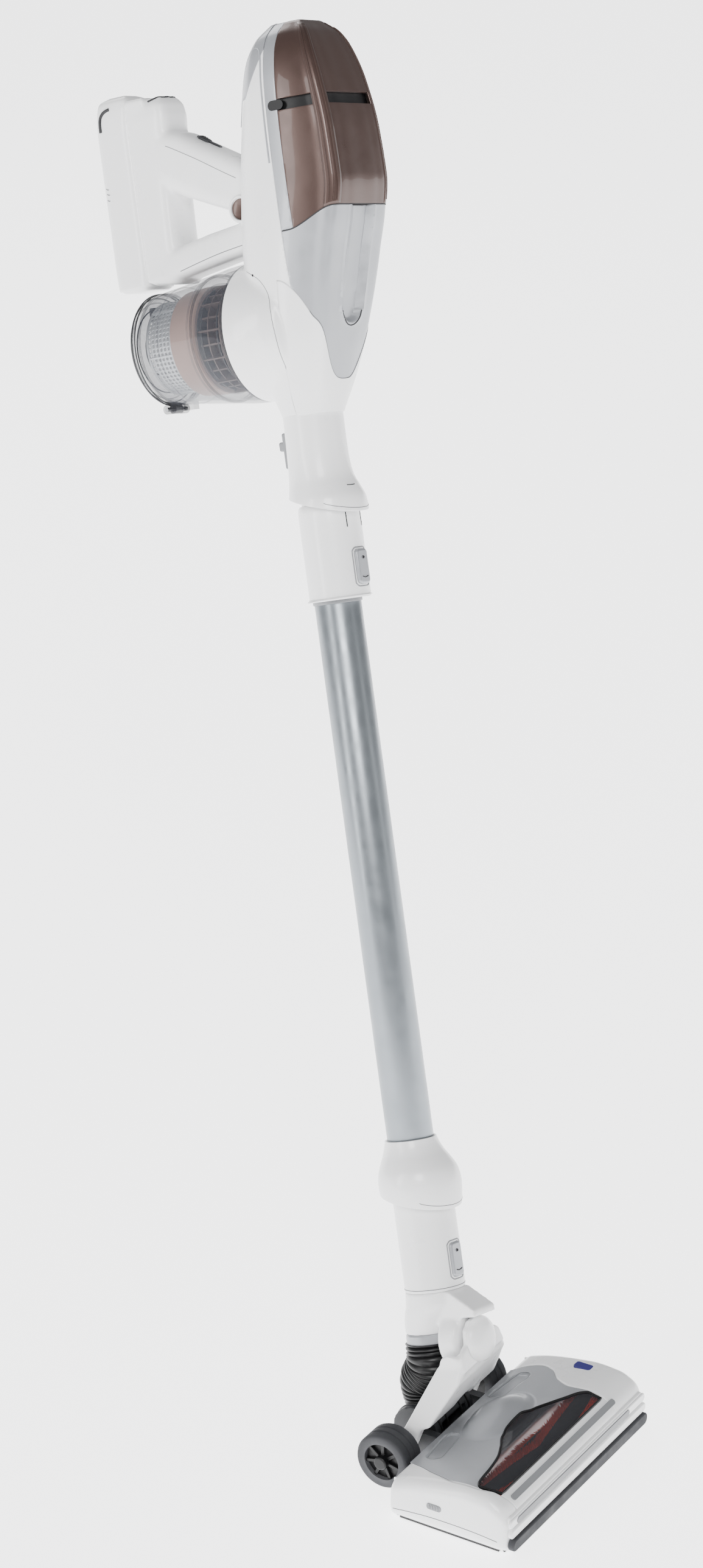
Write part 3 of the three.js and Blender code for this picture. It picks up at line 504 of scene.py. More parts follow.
def skin(columns, z, inset=0.0):
    """Points of the unit's outer surface at these outline columns and heights."""
    x, f = OUTLINE[columns].T
    angle = np.arctan2(x, f)
    low = np.minimum(z, BODY_TOP)
    square = square_at(low)
    wide = (1 - square) * np.sin(angle) + square * x
    long = (1 - square) * np.cos(angle) + square * f
    reach = (front_at(low) - rear_at(low)) / 2 - inset
    middle = (front_at(low) + rear_at(low)) / 2
    over = np.sqrt(np.clip(1 - np.maximum(z - BODY_TOP, 0) / CROWN_RISE, 0, 1))
    return np.stack((wide * (half_at(low) - inset) * over, -(middle + long * reach * over),
        np.minimum(z, CROWN) - inset * (z > 400)), 1)


ALL = np.arange(len(OUTLINE))


def skin_patch(low, high, rows, columns=ALL, inset=0.0, dent=None):
    """A patch of the outer surface between two heights, which may differ from column to column."""
    low, high = np.broadcast_to(low, len(columns)), np.broadcast_to(high, len(columns))
    made = []
    for v in np.linspace(0, 1, rows):
        z = low + (high - low) * v
        sunk = inset + (dent(skin(columns, z), z) if dent is not None else 0)
        made.append(skin(columns, z, sunk))
    return rings(made, closed=len(columns) == len(ALL), capped=False)


front_share = np.clip((OUTLINE[:, 1] - 0.25) / 0.7, 0, 1)
cover_foot = 270.5 + 12.5 * front_share ** 2 * (3 - 2 * front_share)  # wavy lower edge of the covers
AXIS = (0, -15, 300)

# White shell with the barrel that takes the dust cup.
points, faces = skin_patch(132, CROWN, 90)
whole = (points, faces + [tuple(ALL)[::-1]])
barrel = spun([(0, -14), (37, -14), (44.5, -8.5), (48.4, 2), (50.6, 14), (52, 24), (52, 44), (0, 44)], "y",
    (0, CUP_Z), 96)
shell_mesh = fused([whole, barrel], UNIT, 1.5, 9, cuts=[((0, COVER_Y, 0), (0, -1, 0)),
    ((0, 0, 137.4), (0, 0, -1)), ((0, RIM_Y, 0), (0, 1, 0))])
shell = show("body_shell_outer", shell_mesh, "hand_unit", WHITE, ["body_shell"], thick=SHELL_WALL, sharp=50)

make("cover_strip", skin_patch(cover_foot, CROWN, 80), SILVER, AXIS, [((0, COVER_Y - 0.3, 0), (0, 1, 0)),
    ((0, BRONZE_Y + 0.3, 0), (0, -1, 0))], stands_for=["cover_frame"], thick=SHELL_WALL)
for name, node, low, high in (("cover_below_slot", "cover_lower", cover_foot, SLOT[0]), ("cover_above_slot",
        "cover_upper", SLOT[1], CROWN)):
    make(name, skin_patch(low, high, 60), BRONZE, AXIS, [((0, BRONZE_Y, 0), (0, 1, 0))], stands_for=[node],
        thick=SHELL_WALL, bevel=0.35)
make("slot_floor", skin_patch(SLOT[0] - 6, SLOT[1] + 6, 8, inset=3.2), BLACK, AXIS,
    [((0, COVER_Y - 3, 0), (0, 1, 0))], stands_for=["vent_band"], thick=1.6)

whole_face = BVHTree.FromPolygons([UNIT @ Vector(p) for p in whole[0]], whole[1])
for side, name in SIDES:
    # The dark slot runs on to the silver strip and ends round.
    points = []
    for p in beside(side, rounded(-40, -27.2, SLOT[0] + 0.6, SLOT[1] - 0.6, 3.6, 6)):
        hit = whole_face.ray_cast(UNIT @ Vector(p), UNIT.to_3x3() @ Vector((-side, 0, 0)), 0.2)[0]
        points.append(UNIT.inverted() @ hit)
    out = Vector((side * 0.35, 0, 0))
    count = len(points)
    around = [(i, (i + 1) % count, (i + 1) % count + count, i + count) for i in range(count)]
    faces = [tuple(range(count)), tuple(range(2 * count - 1, count - 1, -1))] + around
    make(f"slot_end_{name}", ([p + out for p in points] + [p - out for p in points], faces), BLACK)
    # A ribbed strip covers the ridge between the front and the side, across the slot.
    ridge = RIDGE if side > 0 else len(ALL) - RIDGE
    strip = np.array([(ridge + k) % len(ALL) for k in range(-4, 5)])
    make(f"ridge_{name}", skin_patch(cover_foot[strip] + 0.3, 419, 70, strip, -0.25), BRONZE, AXIS,
        thick=1.6, sharp=60)
    for k, column in enumerate((ridge - 2, ridge, ridge + 2)):
        path = skin(np.full(60, column % len(ALL)), np.linspace(cover_foot[ridge] + 3, 415, 60), -0.3)
        make(f"ridge_rib_{name}_{k}", pipe(path, 0.42, sides=8, up=(side, 0, 0)), BRONZE)


def channel(at, z):
    """Depth of the U-shaped hollow down the silver front panel, with a lip along its edge."""
    x = at[:, 0]
    below = np.minimum(z - 216, 0) * 0.8
    reach = np.hypot(x, below)
    wall = np.clip((13.4 - reach) / 3.2, 0, 1)
    lip = np.exp(-((reach - 14.6) / 1.3) ** 2)
    open_top = np.clip((z - 196) / 6, 0, 1)
    bar = np.exp(-((reach - 9.2) / 1.2) ** 2) * np.clip((z - 222) / 5, 0, 1)
    return (4.4 * wall * wall * (3 - 2 * wall) - 1.0 * lip - 1.3 * bar) * open_top * (at[:, 1] < -20)


panel_columns = np.concatenate((ALL[-42:], ALL[:43]))
panel = make("front_panel_skin", skin_patch(150.3, cover_foot[panel_columns] - 0.9, 150, panel_columns,
    dent=channel), SILVER, (0, -10, 215), [((0, COVER_Y - 0.3, 0), (0, 1, 0))], stands_for=["front_panel"],
    thick=SHELL_WALL, bevel=0.3)
off_centre = np.abs(OUTLINE[panel_columns, 0])
off_centre /= off_centre.max()
chin_top = 160 + 76 * off_centre ** 3.2
make("shell_chin", skin_patch(137.2, chin_top, 70, panel_columns, inset=-0.3), WHITE, AXIS, thick=1.6)
edged = off_centre < 0.88
make("chin_seam", pipe(skin(panel_columns[edged], chin_top[edged] + 0.2, -0.15), 0.28, sides=8,
    up=(0, 1, 0)), SOFT_INK)
edge_columns = np.concatenate((ALL[-40:], ALL[:41]))
foot_path = skin(edge_columns, cover_foot[edge_columns] - 0.45, 0.1)
foot_path = foot_path[foot_path[:, 1] < COVER_Y]
make("cover_shadow", pipe(foot_path, 0.5, sides=8, up=(0, 0, 1)), INK)
arc = [(12.6 * math.sin(t), -80, 213 - 15.5 * math.cos(t)) for t in np.linspace(-1.25, 1.25, 9)]
line_on("panel_arc", panel, arc, (0, 1, 0), radius=0.5)

# Seams, dots and the grey band on the white shell.
for side, name in SIDES:
    seam = beside(side, ((17, 247), (9, 243), (2, 238), (-4, 228), (-7, 212), (-8, 196), (-7, 180),
        (-5, 164), (-3, 150), (-2, 138.5)))
    line_on(f"shell_seam_{name}", shell, seam, (-side, 0, 0), SOFT_INK, 0.22)
    line_on(f"shell_dot_{name}", shell, beside(side, ((9.3, 243.4), (8.8, 243), (8.3, 242.6))),
        (-side, 0, 0), INK, 0.8, 3)
    band = beside(side, ((-22.6, 320), (-22.4, 372), (-21.8, 398), (-17, 405), (-8, 402), (0, 390), (7, 368),
        (10, 352)))
    line_on(f"shell_band_{name}", shell, band, (-side, 0, 0), SILVER, 0.8)
behind = (OUTLINE[:, 1] < 0.35)
crown_foot = np.where(behind, 404 - 34 * np.clip((-OUTLINE[:, 1] - 0.12) / 0.5, 0, 1), 404)
make("crown_band", skin_patch(crown_foot, BODY_TOP + 2.4, 24, inset=-0.35), SILVER, AXIS,
    [((0, COVER_Y - 0.1, 0), (0, -1, 0))], thick=0.9, bevel=0.25)


# ---- nozzle, collar and the parts inside the unit
def sleeve_piece(name, levels, wall, nodes_for, cuts=(), bevel=0.4, **place):
    """A white round stack with open ends and a wall."""
    points, faces = stack(levels)
    centre = (0, -levels[0][2], levels[len(levels) // 2][0])
    return make(name, (points, faces[:-2]), WHITE, centre, cuts, stands_for=nodes_for, thick=wall,
        bevel=bevel, sharp=50, **place)


def slant(z, tilt):
    """A cutting plane that is lower at the front, and takes off what is below."""
    return [((0, 0, z), (0, math.sin(tilt), -math.cos(tilt)))]


def lip_seam(wide, deep, z, slope, forward):
    """A line round the front of a slanted lip."""
    return before([(wide * math.sin(t), z - slope * (forward + deep * math.cos(t)))
        for t in np.linspace(-1.3, 1.3, 15)])


nozzle = sleeve_piece("nozzle_flare", [(52, 29.4, 3.4), (64, 29.6, 3.4), (74, 28.8, 3.2), (82, 26.6, 2),
    (90, 24.4, .6), (100, 23.2, 0), (114, 22.7, 0), (140, 22.4, .6)], 2.2, ["nozzle"], slant(72.3, 0.29),
    bevel=0.5)
line_on("nozzle_dash", nozzle, [(-7, -50, 82.6), (-3, -50, 82.4), (1.5, -50, 82.6)], (0, 1, 0), radius=0.4)
line_on("nozzle_lip_seam", nozzle, lip_seam(26.5, 27.5, 74.6, 0.298, 5), (0, 1, 0), SOFT_INK, 0.25)
for side, name in SIDES:
    make(f"nozzle_seam_{name}", pipe([(side * r, -2, z) for r, z in ((22.05, 136), (21.95, 116), (22.1, 96),
        (24.6, 86), (27.1, 76), (27.6, 72))], 0.22, sides=8), SOFT_INK)
make("nozzle_latch_key", joined(block((-8.4, 19.2, 100.6), (8.4, 25, 127.4)),
    block((-8.4, 23, 114), (8.4, 28.5, 121))), GREY, stands_for=["nozzle_latch"], bevel=1.4,
    body="nozzle_lever")

collar = sleeve_piece("collar_shell", [(0, 22.7, 2.7), (4, 23, 3), (40, 23, 3), (62, 23, 3), (68, 22.2, 2.6),
    (71, 20.6, 2)], 2.0, ["upper_collar"], body="wand")
make_collar("collar_spigot", lathe([(17, 50), (17, 108), (14.6, 108), (14.6, 50)]), WHITE, bevel=0.6)


def release_button(name, node, body, where, low_z, collar_piece, collar_body):
    """A long button with a slot and a dark dot drawn on it, and a frame line drawn round it on its collar.
    """
    span = 26.8
    plate = prism(rounded(-6.6, 6.6, low_z + 0.4, low_z + span - 0.4, 3.2), "y", -28.2, -19.3)
    key = make(name, plate, SILVER, stands_for=[node], bevel=1.6, where=where, body=body)
    line_on(f"{name}_slot", key, before(((-3.4, low_z + 6), (0, low_z + 5.2), (3.4, low_z + 6))), (0, 1, 0),
        INK, 0.45, where=where, body=body)
    line_on(f"{name}_dot", key, before(((-0.5, low_z + 20), (0, low_z + 20), (0.5, low_z + 20))), (0, 1, 0),
        INK, 1.2, 3, where=where, body=body)
    ring = before(rounded(-8, 8, low_z - 1, low_z + span + 1, 4))
    line_on(f"{name}_frame", collar_piece, ring, (0, 1, 0), GREY, 0.5, 2, closed=True, where=where,
        body=collar_body)


release_button("upper_button_key", "upper_release_button", "upper_button", UNIT, 8.6, collar, "wand")
for side, name in SIDES:
    x = side * 9
    line_on(f"collar_clip_{name}", collar, before(((x, 52), (x, 57), (x, 63))), (0, 1, 0), INK, 0.45,
        body="wand")


# ---- dust cup
CUP_AT = (0, CUP_Z)
CUP_TURN = ("y", CUP_AT, 96)  # most of the cup is turned about its axis
EYES = ((-12, -5), (5, 12))  # where each hinge eye starts and ends
HINGE_AT = (124.5, CUP_Z - 45)


def bead(radius, y, size):
    """A closed round bead, as a profile for turning."""
    return [(radius + size * math.cos(t), y + size * math.sin(t)) for t in np.arange(10) / 10 * TAU]


cup_wall = [(49.5, RIM_Y + .3), (51.7, RIM_Y + .3), (52, 40), (51.2, 50), (50, 58), (48, 74), (45.5, 92),
    (43.6, 108), (42, 121), (39.6, 121), (41.3, 108), (43, 92), (45.4, 74), (47.5, 58), (48.8, 50),
    (49.5, 42)]
make_cup("cup_wall", lathe(cup_wall, "y", CUP_AT, 120), CLEAR, stands_for=["dust_cup"])
for k, (radius, y, size, look) in enumerate(((51.2, 35.4, 0.9, SMOKE), (47.9, 66, 1.0, SMOKE),
        (47.3, 70, 0.7, CLEAR), (42.0, 119.2, 0.9, SMOKE), (44.2, 100.5, 0.5, CLEAR))):
    make_cup(f"cup_ring_{k}", lathe(bead(radius - 0.5, y, size), "y", CUP_AT, 120), look)
make_cup("cup_hinge_eyes", joined(*[lathe([(1.8, a), (3.6, a), (3.6, b), (1.8, b)], "x", HINGE_AT, 28) for a,
    b in EYES], *[block((a, 112, HINGE_AT[1] - 2), (b, 121, CUP_Z - 41)) for a, b in EYES]), SMOKE)
lid_profile = [(0, 121.3), (39, 121.3), (39, 122.4), (42.2, 122.4), (42.2, 124.2), (41.2, 124.6),
    (42.2, 125), (42.2, 127), (40.6, 128.4), (39.4, 128.2), (38, 129.5), (35, 129.6), (34.4, 129), (30, 129),
    (29.4, 130), (0, 130)]
make_lid("cup_lid_disc", spun(lid_profile, *CUP_TURN), SMOKE, stands_for=["cup_lid"], bevel=0.3)
for k, (radius, y) in enumerate(((42.1, 123.2), (42.1, 126), (39.6, 128.7), (36.4, 129.8), (31.6, 129.4),
        (20, 130.1))):
    make_lid(f"lid_ring_{k}", lathe(bead(radius, y, 0.55), *CUP_TURN), DARK if k != 3 else SMOKE)
make_lid("lid_knuckle", joined(lathe([(1.8, -4.6), (3.4, -4.6), (3.4, 4.6), (1.8, 4.6)], "x", HINGE_AT, 28),
    block((-4.6, 122.8, HINGE_AT[1]), (4.6, 127, CUP_Z - 40))), DARK)
latch = joined(prism(rounded(-7, 7, CUP_Z + 22, CUP_Z + 33, 2.5), "y", 130.3, 132.6),
    *[block((-5, 132, CUP_Z + 24 + 2.2 * k), (5, 133.4, CUP_Z + 25.1 + 2.2 * k)) for k in range(4)])
make("lid_latch_key", latch, DARK, stands_for=["cup_latch"], bevel=0.4, body="lid_latch")


def screen(radius_low, radius_high, low, high, around, along):
    """A perforated sleeve: each cell of the grid has an eight-sided hole."""
    points, faces, index = [], [], {}

    def spot(u, v):
        key = (round(u % 1, 5), round(v, 5))
        if key not in index:
            index[key] = len(points)
            radius = radius_low + (radius_high - radius_low) * v
            points.append((radius * math.cos(u * TAU), low + (high - low) * v, CUP_Z + radius
                * math.sin(u * TAU)))
        return index[key]

    for i in range(around):
        for j in range(along):
            ring, rim = [], []
            for k in range(8):
                a = (k + 0.5) / 8 * TAU
                c, s = math.cos(a), math.sin(a)
                edge = max(abs(c), abs(s))
                ring.append(spot((i + 0.5 + 0.3 * c) / around, (j + 0.5 + 0.3 * s) / along))
                rim.append(spot((i + 0.5 + 0.5 * c / edge) / around, (j + 0.5 + 0.5 * s / edge) / along))
            for k in range(8):
                faces.append((ring[k], ring[(k + 1) % 8], rim[(k + 1) % 8], rim[k]))
            corners = [spot((i + u) / around, (j + v) / along) for u, v in ((1, 1), (0, 1), (0, 0), (1, 0))]
            for k, corner in zip((0, 2, 4, 6), corners):
                faces.append((rim[k], corner, rim[(k + 1) % 8]))
    return points, faces


make_cup("cup_screen", screen(36, 34.6, 84.5, 117, 60, 9), MESH, (0, 100, CUP_Z), stands_for=["mesh_screen"],
    thick=0.5, sharp=60)
make_cup("screen_core", spun([(0, 84), (33.5, 84), (32, 116), (0, 116)], "y", CUP_AT, 72), WHITE, bevel=0.5)
for k, y in enumerate((84.6, 117)):
    inner, outer = 34.6 + 1.2 * (1 - k), 36.6 - 1.2 * k
    make_cup(f"screen_rim_{k}", lathe([(inner, y - 0.9), (outer, y - 0.9), (outer, y + 0.9),
        (inner, y + 0.9)], *CUP_TURN), MESH, bevel=0.2)
for k in range(6):
    a = (k + 0.3) / 6 * TAU
    bar = moved(block((-0.8, 85, 34.2), (0.8, 116.5, 36.3)), a, "Y", (0, 0, CUP_Z))
    make_cup(f"screen_bar_{k}", bar, MESH, bevel=0.2)
make_cup("cyclone_body", spun([(0, 38), (46, 38), (46, 40.5), (45, 42), (35, 44.5), (33, 48), (33, 66),
    (0, 66)], "y", CUP_AT, 96), COPPER, stands_for=["cyclone_core"], bevel=0.4)
make_cup("cyclone_band", lathe([(37, 68), (40.4, 70), (40.6, 76), (39.6, 92), (37, 92)], *CUP_TURN), TAN,
    bevel=0.6)
make_cup("cyclone_collar", lathe([(30, 63), (41.5, 64), (41.8, 66.5), (37.5, 68.5), (30, 68.5)], *CUP_TURN),
    CLEAR, bevel=0.4)
fins = [moved(block((-0.7, 43, 31), (0.7, 64, 41.5 - 2 * (k % 2))), (k + 0.5) / 24 * TAU, "Y", (0, 0, CUP_Z))
    for k in range(24)]
make_cup("cyclone_fins", joined(*fins), COPPER, bevel=0.25)
for k, y in enumerate((47.2, 55.4, 61.8)):
    make_cup(f"cyclone_hoop_{k}", lathe([(32, y), (39.8, y), (39.8, y + 1.1), (32, y + 1.1)], *CUP_TURN),
        (DARK, COPPER, DARK)[k], bevel=0.2)


# ---- handle, trigger and battery
GRIP_SQUARE, BATTERY_SQUARE = 0.46, 0.34  # lower is squarer
BATTERY_Y = 136.8  # middle of the battery column
TRIGGER_AT = (27.5, 295)  # middle of the round caps beside the trigger
CHARGE_AT = (0, 269)
SLIDER_TILT = 0.6255  # slope of the grip under the slider


def bar_of(path, wide, deep, sides=32):
    """A bar of squarish section along a path in the Y-Z plane."""
    points = np.array([(0, y, z) for y, z in path], float)
    wide, deep = np.broadcast_to(wide, len(points)), np.broadcast_to(deep, len(points))
    angle = np.arange(sides) / sides * TAU
    c, s = np.cos(angle), np.sin(angle)
    u, v = squared(c, GRIP_SQUARE), squared(s, GRIP_SQUARE)
    rows = []
    for i, at in enumerate(points):
        t = points[min(i + 1, len(points) - 1)] - points[max(i - 1, 0)]
        t /= np.linalg.norm(t)
        rows.append(at + np.outer(u * wide[i], (1, 0, 0)) + np.outer(v * deep[i], np.cross(t, (1, 0, 0))))
    return rings(rows)


grip = bar_of([(8, 306), (30, 311), (50, 321), (70, 331), (88, 341), (104, 348)], (16, 17, 17.8, 18, 18, 18),
    (17, 19, 20.5, 21.5, 22, 20))
post = bar_of([(108, 251), (107.4, 256), (107, 280), (106.6, 300), (106, 330), (105, 356), (104.6, 376),
    (104.8, 384), (105, 389.5)], (16, 17.8, 18, 18, 18, 18, 18, 17, 13),
    (13, 14.6, 15, 15, 15.4, 17, 18.6, 17.6, 14))
lower = bar_of([(14, 275), (32, 274), (60, 270.4), (84, 266.6), (100, 263.6), (112, 261)],
    (16, 17.6, 18, 18, 18, 17), (11.5, 12, 12.4, 12.2, 11.6, 9))
front_wall = bar_of([(20, 268), (21, 285), (19, 300), (17, 320)], 17, (13, 12, 13, 10))
spine = block((-17.4, 104, 254), (17.4, 123, 391.5))
handle = show("handle_shell_round", fused([grip, post, lower, front_wall, spine], UNIT, 1.5, 12),
    "hand_unit", WHITE, ["handle_shell"], sharp=60)
column = [(250, 14.5, 12), (252, 17, 14.4), (257, 18, 16), (300, 18, 16.3), (360, 18, 16.3),
    (380, 17.8, 16.2), (389, 17, 15.6), (394, 15, 13.6), (397, 9, 8)]
angle = np.arange(56) / 56 * TAU
rows = []
for z, wide, deep in curve(column, 5):
    middle = BATTERY_Y - (z > 370) * (z - 370) * 0.08
    rows.append(np.stack((squared(np.cos(angle), BATTERY_SQUARE) * wide,
        middle + squared(np.sin(angle), BATTERY_SQUARE) * deep, np.full(56, z)), 1))
pack = make_battery("battery_case", rings(rows), WHITE, stands_for=["battery_pack"], sharp=50)
for side, name in SIDES:
    line_on(f"battery_bracket_{name}", pack, beside(side, ((146.6, 372), (146.4, 378), (145.2, 383),
        (141.6, 386.6), (136.5, 388))), (-side, 0, 0), INK, 1.3, body="battery")
    for k, (y, z) in enumerate(((149, 330), (148.6, 326), (149, 321.5))):
        line_on(f"battery_mark_{name}_{k}", pack, beside(side,
            ((y, z), (y - 1.2, z - 0.8), (y - 2.6, z - 1))), (-side, 0, 0), GREY, 0.4, 3, body="battery")
    line_on(f"grip_seam_{name}", handle, beside(side, ((88, 352), (80, 348), (60, 337), (40, 325),
        (28, 318))), (-side, 0, 0), SOFT_INK, 0.25)
    line_on(f"lower_seam_{name}", handle, beside(side, ((90, 258.5), (70, 262.5), (50, 266), (30, 268.5))),
        (-side, 0, 0), SOFT_INK, 0.3)
make("battery_catch", prism(rounded(-6, 6, 385, 395.4, 2), "y", 144, 151.5), DARK,
    stands_for=["battery_release"], bevel=0.8, body="battery_button")
make_battery("charge_socket_ring", joined(lathe([(2.2, 150.6), (4.2, 150.6), (4.2, 153.4), (2.2, 153.4)],
    "y", CHARGE_AT, 32), spun([(0, 149), (4.2, 149), (4.2, 150.6), (0, 150.6)], "y", CHARGE_AT, 32)), BLACK,
    stands_for=["charge_socket"], bevel=0.2)
line_on("shoulder_arc", handle, [(x, y, 390) for x, y in ((-14.6, 101), (-12.6, 96), (-7, 92.6), (0, 91.8),
    (7, 92.6), (12.6, 96), (14.6, 101))], (0, 0, -1), INK, 0.9)
line_on("slider_track", handle, [(0, y, 370) for y in (70, 64, 56, 50)], (0, 0, -1), DARK, 1.5)
slider_low, slider_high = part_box("mode_slider")
slider_at = UNIT.inverted() @ ((slider_low + slider_high) / 2)
make("slider_key", moved(joined(prism(rounded(-3.6, 3.6, -5, 5, 2), "z", -1.6, 1.8),
    *[block((-3, y - 0.35, 1.7), (3, y + 0.35, 2.3)) for y in (-2.4, 0, 2.4)]), SLIDER_TILT, "X", slider_at),
    DARK, stands_for=["mode_slider"], bevel=0.3, body="slider")
key = prism([(30.8, 288.3), (37.4, 288.3), (36.6, 292), (36.4, 296), (37.4, 300), (40, 303.8),
    (30.8, 303.8)], "x", -6.2, 6.2)
make("trigger_key_shell", key, BRONZE, stands_for=["trigger"], bevel=1.2, body="trigger_key")
for side, name in SIDES:
    socket = [(8.2, 13), (10.4, 13), (10.4, 17.2), (9.8, 18.2), (8.2, 18.2)]
    cap = [(0, 12), (8, 12), (8, 16.4), (7.2, 17.2), (5.8, 16.7), (0, 17.1)]
    make(f"trigger_socket_{name}", lathe([(r, side * x) for r, x in socket], "x", TRIGGER_AT, 48), WHITE,
        bevel=0.5)
    make(f"trigger_cap_{name}", spun([(r, side * x) for r, x in cap], "x", TRIGGER_AT, 48), BRONZE)
coil = [(2.0 * math.cos(t), 35.5 + 2.0 * math.sin(t), 304.8 + 7.4 * t / (5 * TAU))
    for t in np.linspace(0, 5 * TAU, 90)]
make("trigger_coil", pipe(coil, 0.35, sides=8, up=(0, 0.1, 1)), STEEL, stands_for=["trigger_spring"])


# ---- wand
TUBE_FOOT = TUBE_TOP - 409 - 85  # 409 is in view, 85 runs down inside the connector and sleeve
make_wand("wand_tube_skin", lathe([(16, TUBE_FOOT), (17.1, TUBE_FOOT), (17.5, TUBE_FOOT + 0.6),
    (17.5, TUBE_TOP + 54.4), (17.1, TUBE_TOP + 55), (16, TUBE_TOP + 55)], sides=128), TUBE,
    stands_for=["wand_tube"])
make_wand("tube_ferrule_low", lathe([(17.4, 150), (18.6, 150.3), (18.6, 151.6), (17.4, 152.2)], sides=96),
    GREY)
make_wand("tube_ferrule_high", lathe([(17.4, 553.2), (18.5, 553.6), (18.5, 557), (17.4, 557)], sides=96),
    GREY)
connector = sleeve_piece("connector_flare", [(96, 28.4, 3), (104, 29.8, 3.2), (112, 30.8, 3.2),
    (120, 31, 3.1), (128, 29.6, 2.6), (135, 26.4, 1.7), (141, 23.2, .8), (147, 20.8, .2), (152, 19.4, 0)],
    1.6, ["lower_connector"], slant(107.1, 0.26), bevel=0.3, where=WAND, body="wand")
line_on("connector_lip_seam", connector, lip_seam(27, 28, 109.6, 0.266, 3), (0, 1, 0), SOFT_INK, 0.25,
    where=WAND, body="wand")
sleeve = sleeve_piece("sleeve_shell", [(38.4, 22.6, 4), (41, 22.8, 4), (60, 22.8, 4), (90, 22.8, 4),
    (112, 22.8, 4)], 2.2, ["lower_sleeve"], where=WAND, body="swivel")
release_button("lower_button_key", "lower_release_button", "lower_button", WAND, 46.6, sleeve, "swivel")
ring_line = [(22.8 * math.cos(t), 22.8 * math.sin(t) - 4, 40.6) for t in np.linspace(0, TAU, 72)]
make_swivel("sleeve_seam", pipe(ring_line, 0.28, sides=8, up=(0, 0, 1)), SOFT_INK)

elbow_parts = [stack([(5.6, 17.4, -7), (10, 18.8, -5.4), (16, 20.4, -3), (22, 22, .2), (28, 22.8, 3),
    (38.2, 22.8, 4)]), spun([(0, -31.6), (8, -31.6), (9.4, -30.2), (9.6, -12), (0, -12)], "y", (0, 0), 48),
    spun([(0, -31), (19, -31), (22, -28.5), (22, -16), (19.4, -13.4), (0, -13.4)], "y", (0, 0), 56),
    prism([(-12, 37.6), (-25, 37.6), (-45.6, 23.6), (-46.2, 18.4), (-32.4, 18), (-31, 4), (-12, 4)], "x",
    -14, 14)]
show("elbow_shell", fused(elbow_parts, WAND, 1.1, 9), "swivel", WHITE, ["neck_elbow"], sharp=60)
make_swivel("hose_ring_band", lathe([(14.3, -2.4), (16.6, -2.5), (17.5, -1.6), (17.7, 1.4), (17.5, 4.6),
    (16.7, 5.5), (14.4, 5.5)], "z", (0, 7), 96), SILVER, stands_for=["hose_ring"])
make_swivel("swivel_pin_cap", spun([(0, -46), (6, -45.7), (11, -44.6), (15, -42.4), (17, -40), (17.2, -38.3),
    (4, -38.3), (4, -21), (0, -21)], "y", (0, 0), 64), WHITE, stands_for=["swivel_pin"], sharp=60)


# ---- neck
def softened(node, voxel, rounds, more=()):
    """A copy of a CAD solid with its edges rounded off, and more solids melted in."""
    points = [tuple(v.co / MM) for v in nodes[node].data.vertices]
    return fused([(points, [tuple(p.vertices) for p in nodes[node].data.polygons]), *more], HEAD, voxel,
        rounds)


def in_head(solid):
    """A solid given in the neck's frame, in the head's frame."""
    turn = HEAD.inverted() @ NECK
    return [tuple(turn @ Vector(p)) for p in solid[0]], solid[1]


shoulders = [in_head(prism([(-29, 49), (29, 49), (27.5, 60), (24, 63.5), (17, 66), (-17, 66), (-24, 63.5),
    (-27.5, 60)], "y", -62.5, -57.5))]
shoulders += [in_head(prism([(-60, 46), (-60, 61), (-50, 63.5), (-43.5, 61), (-39.5, 53), (-38, 46)], "x",
    *ends)) for ends in ((-29.2, -24.8), (24.8, 29.2))]
show("yoke_shell", softened("neck_yoke", 1.15, 13, shoulders), "neck", WHITE, ["neck_yoke"], sharp=60)
show("drum_shell", softened("hose_drum", 1.0, 5), "neck", DARK, ["hose_drum"], sharp=60)
for x in (-20, -10, 10, 20):
    name = f"drum_rib_{int(x + 20)}"
    make_neck(name, lathe([(19.4, x - 0.8), (20.4, x - 0.6), (20.4, x + 0.6), (19.4, x + 0.8)], "x", (0, 0),
        72), BLACK)
route = curve([(0, -1.5, 17), (0, -1.5, 22), (-0.6, -3, 31), (-1.6, -8.6, 37.6), (-2.5, -14.5, 44),
    (-3.2, -17.2, 51), (-1.6, -17.5, 58), (-0.6, -17.6, 62)], 14)
length = np.concatenate(([0], np.cumsum(np.linalg.norm(np.diff(route, axis=0), axis=1))))
RIDGES = 15
share = np.linspace(0, 1, RIDGES * 10 + 1)
route = np.stack([np.interp(share * length[-1], length, route[:, k]) for k in range(3)], 1)
swell = 17.2 + 1.9 * np.abs(np.cos(share * RIDGES * math.pi)) ** 0.7 + 0.4 * np.sin(share * math.pi)
make_neck("hose_bellows", pipe(route, swell, sides=56), BLACK, stands_for=["neck_hose"], sharp=80,
    blend=("neck", "swivel", NECK @ Vector((0, -2, 24)), NECK @ Vector((-1, -17.5, 56))))
yoke_screw = spun([(0, -1), (5, -1), (5.4, -0.6), (5.4, 1), (0, 1)], "x", (0, 0), 40)
for side, name in SIDES:
    make_neck(f"yoke_pivot_{name}", moved(yoke_screw, at=(side * 48.6, 0, 2)), SILVER, bevel=0.3)


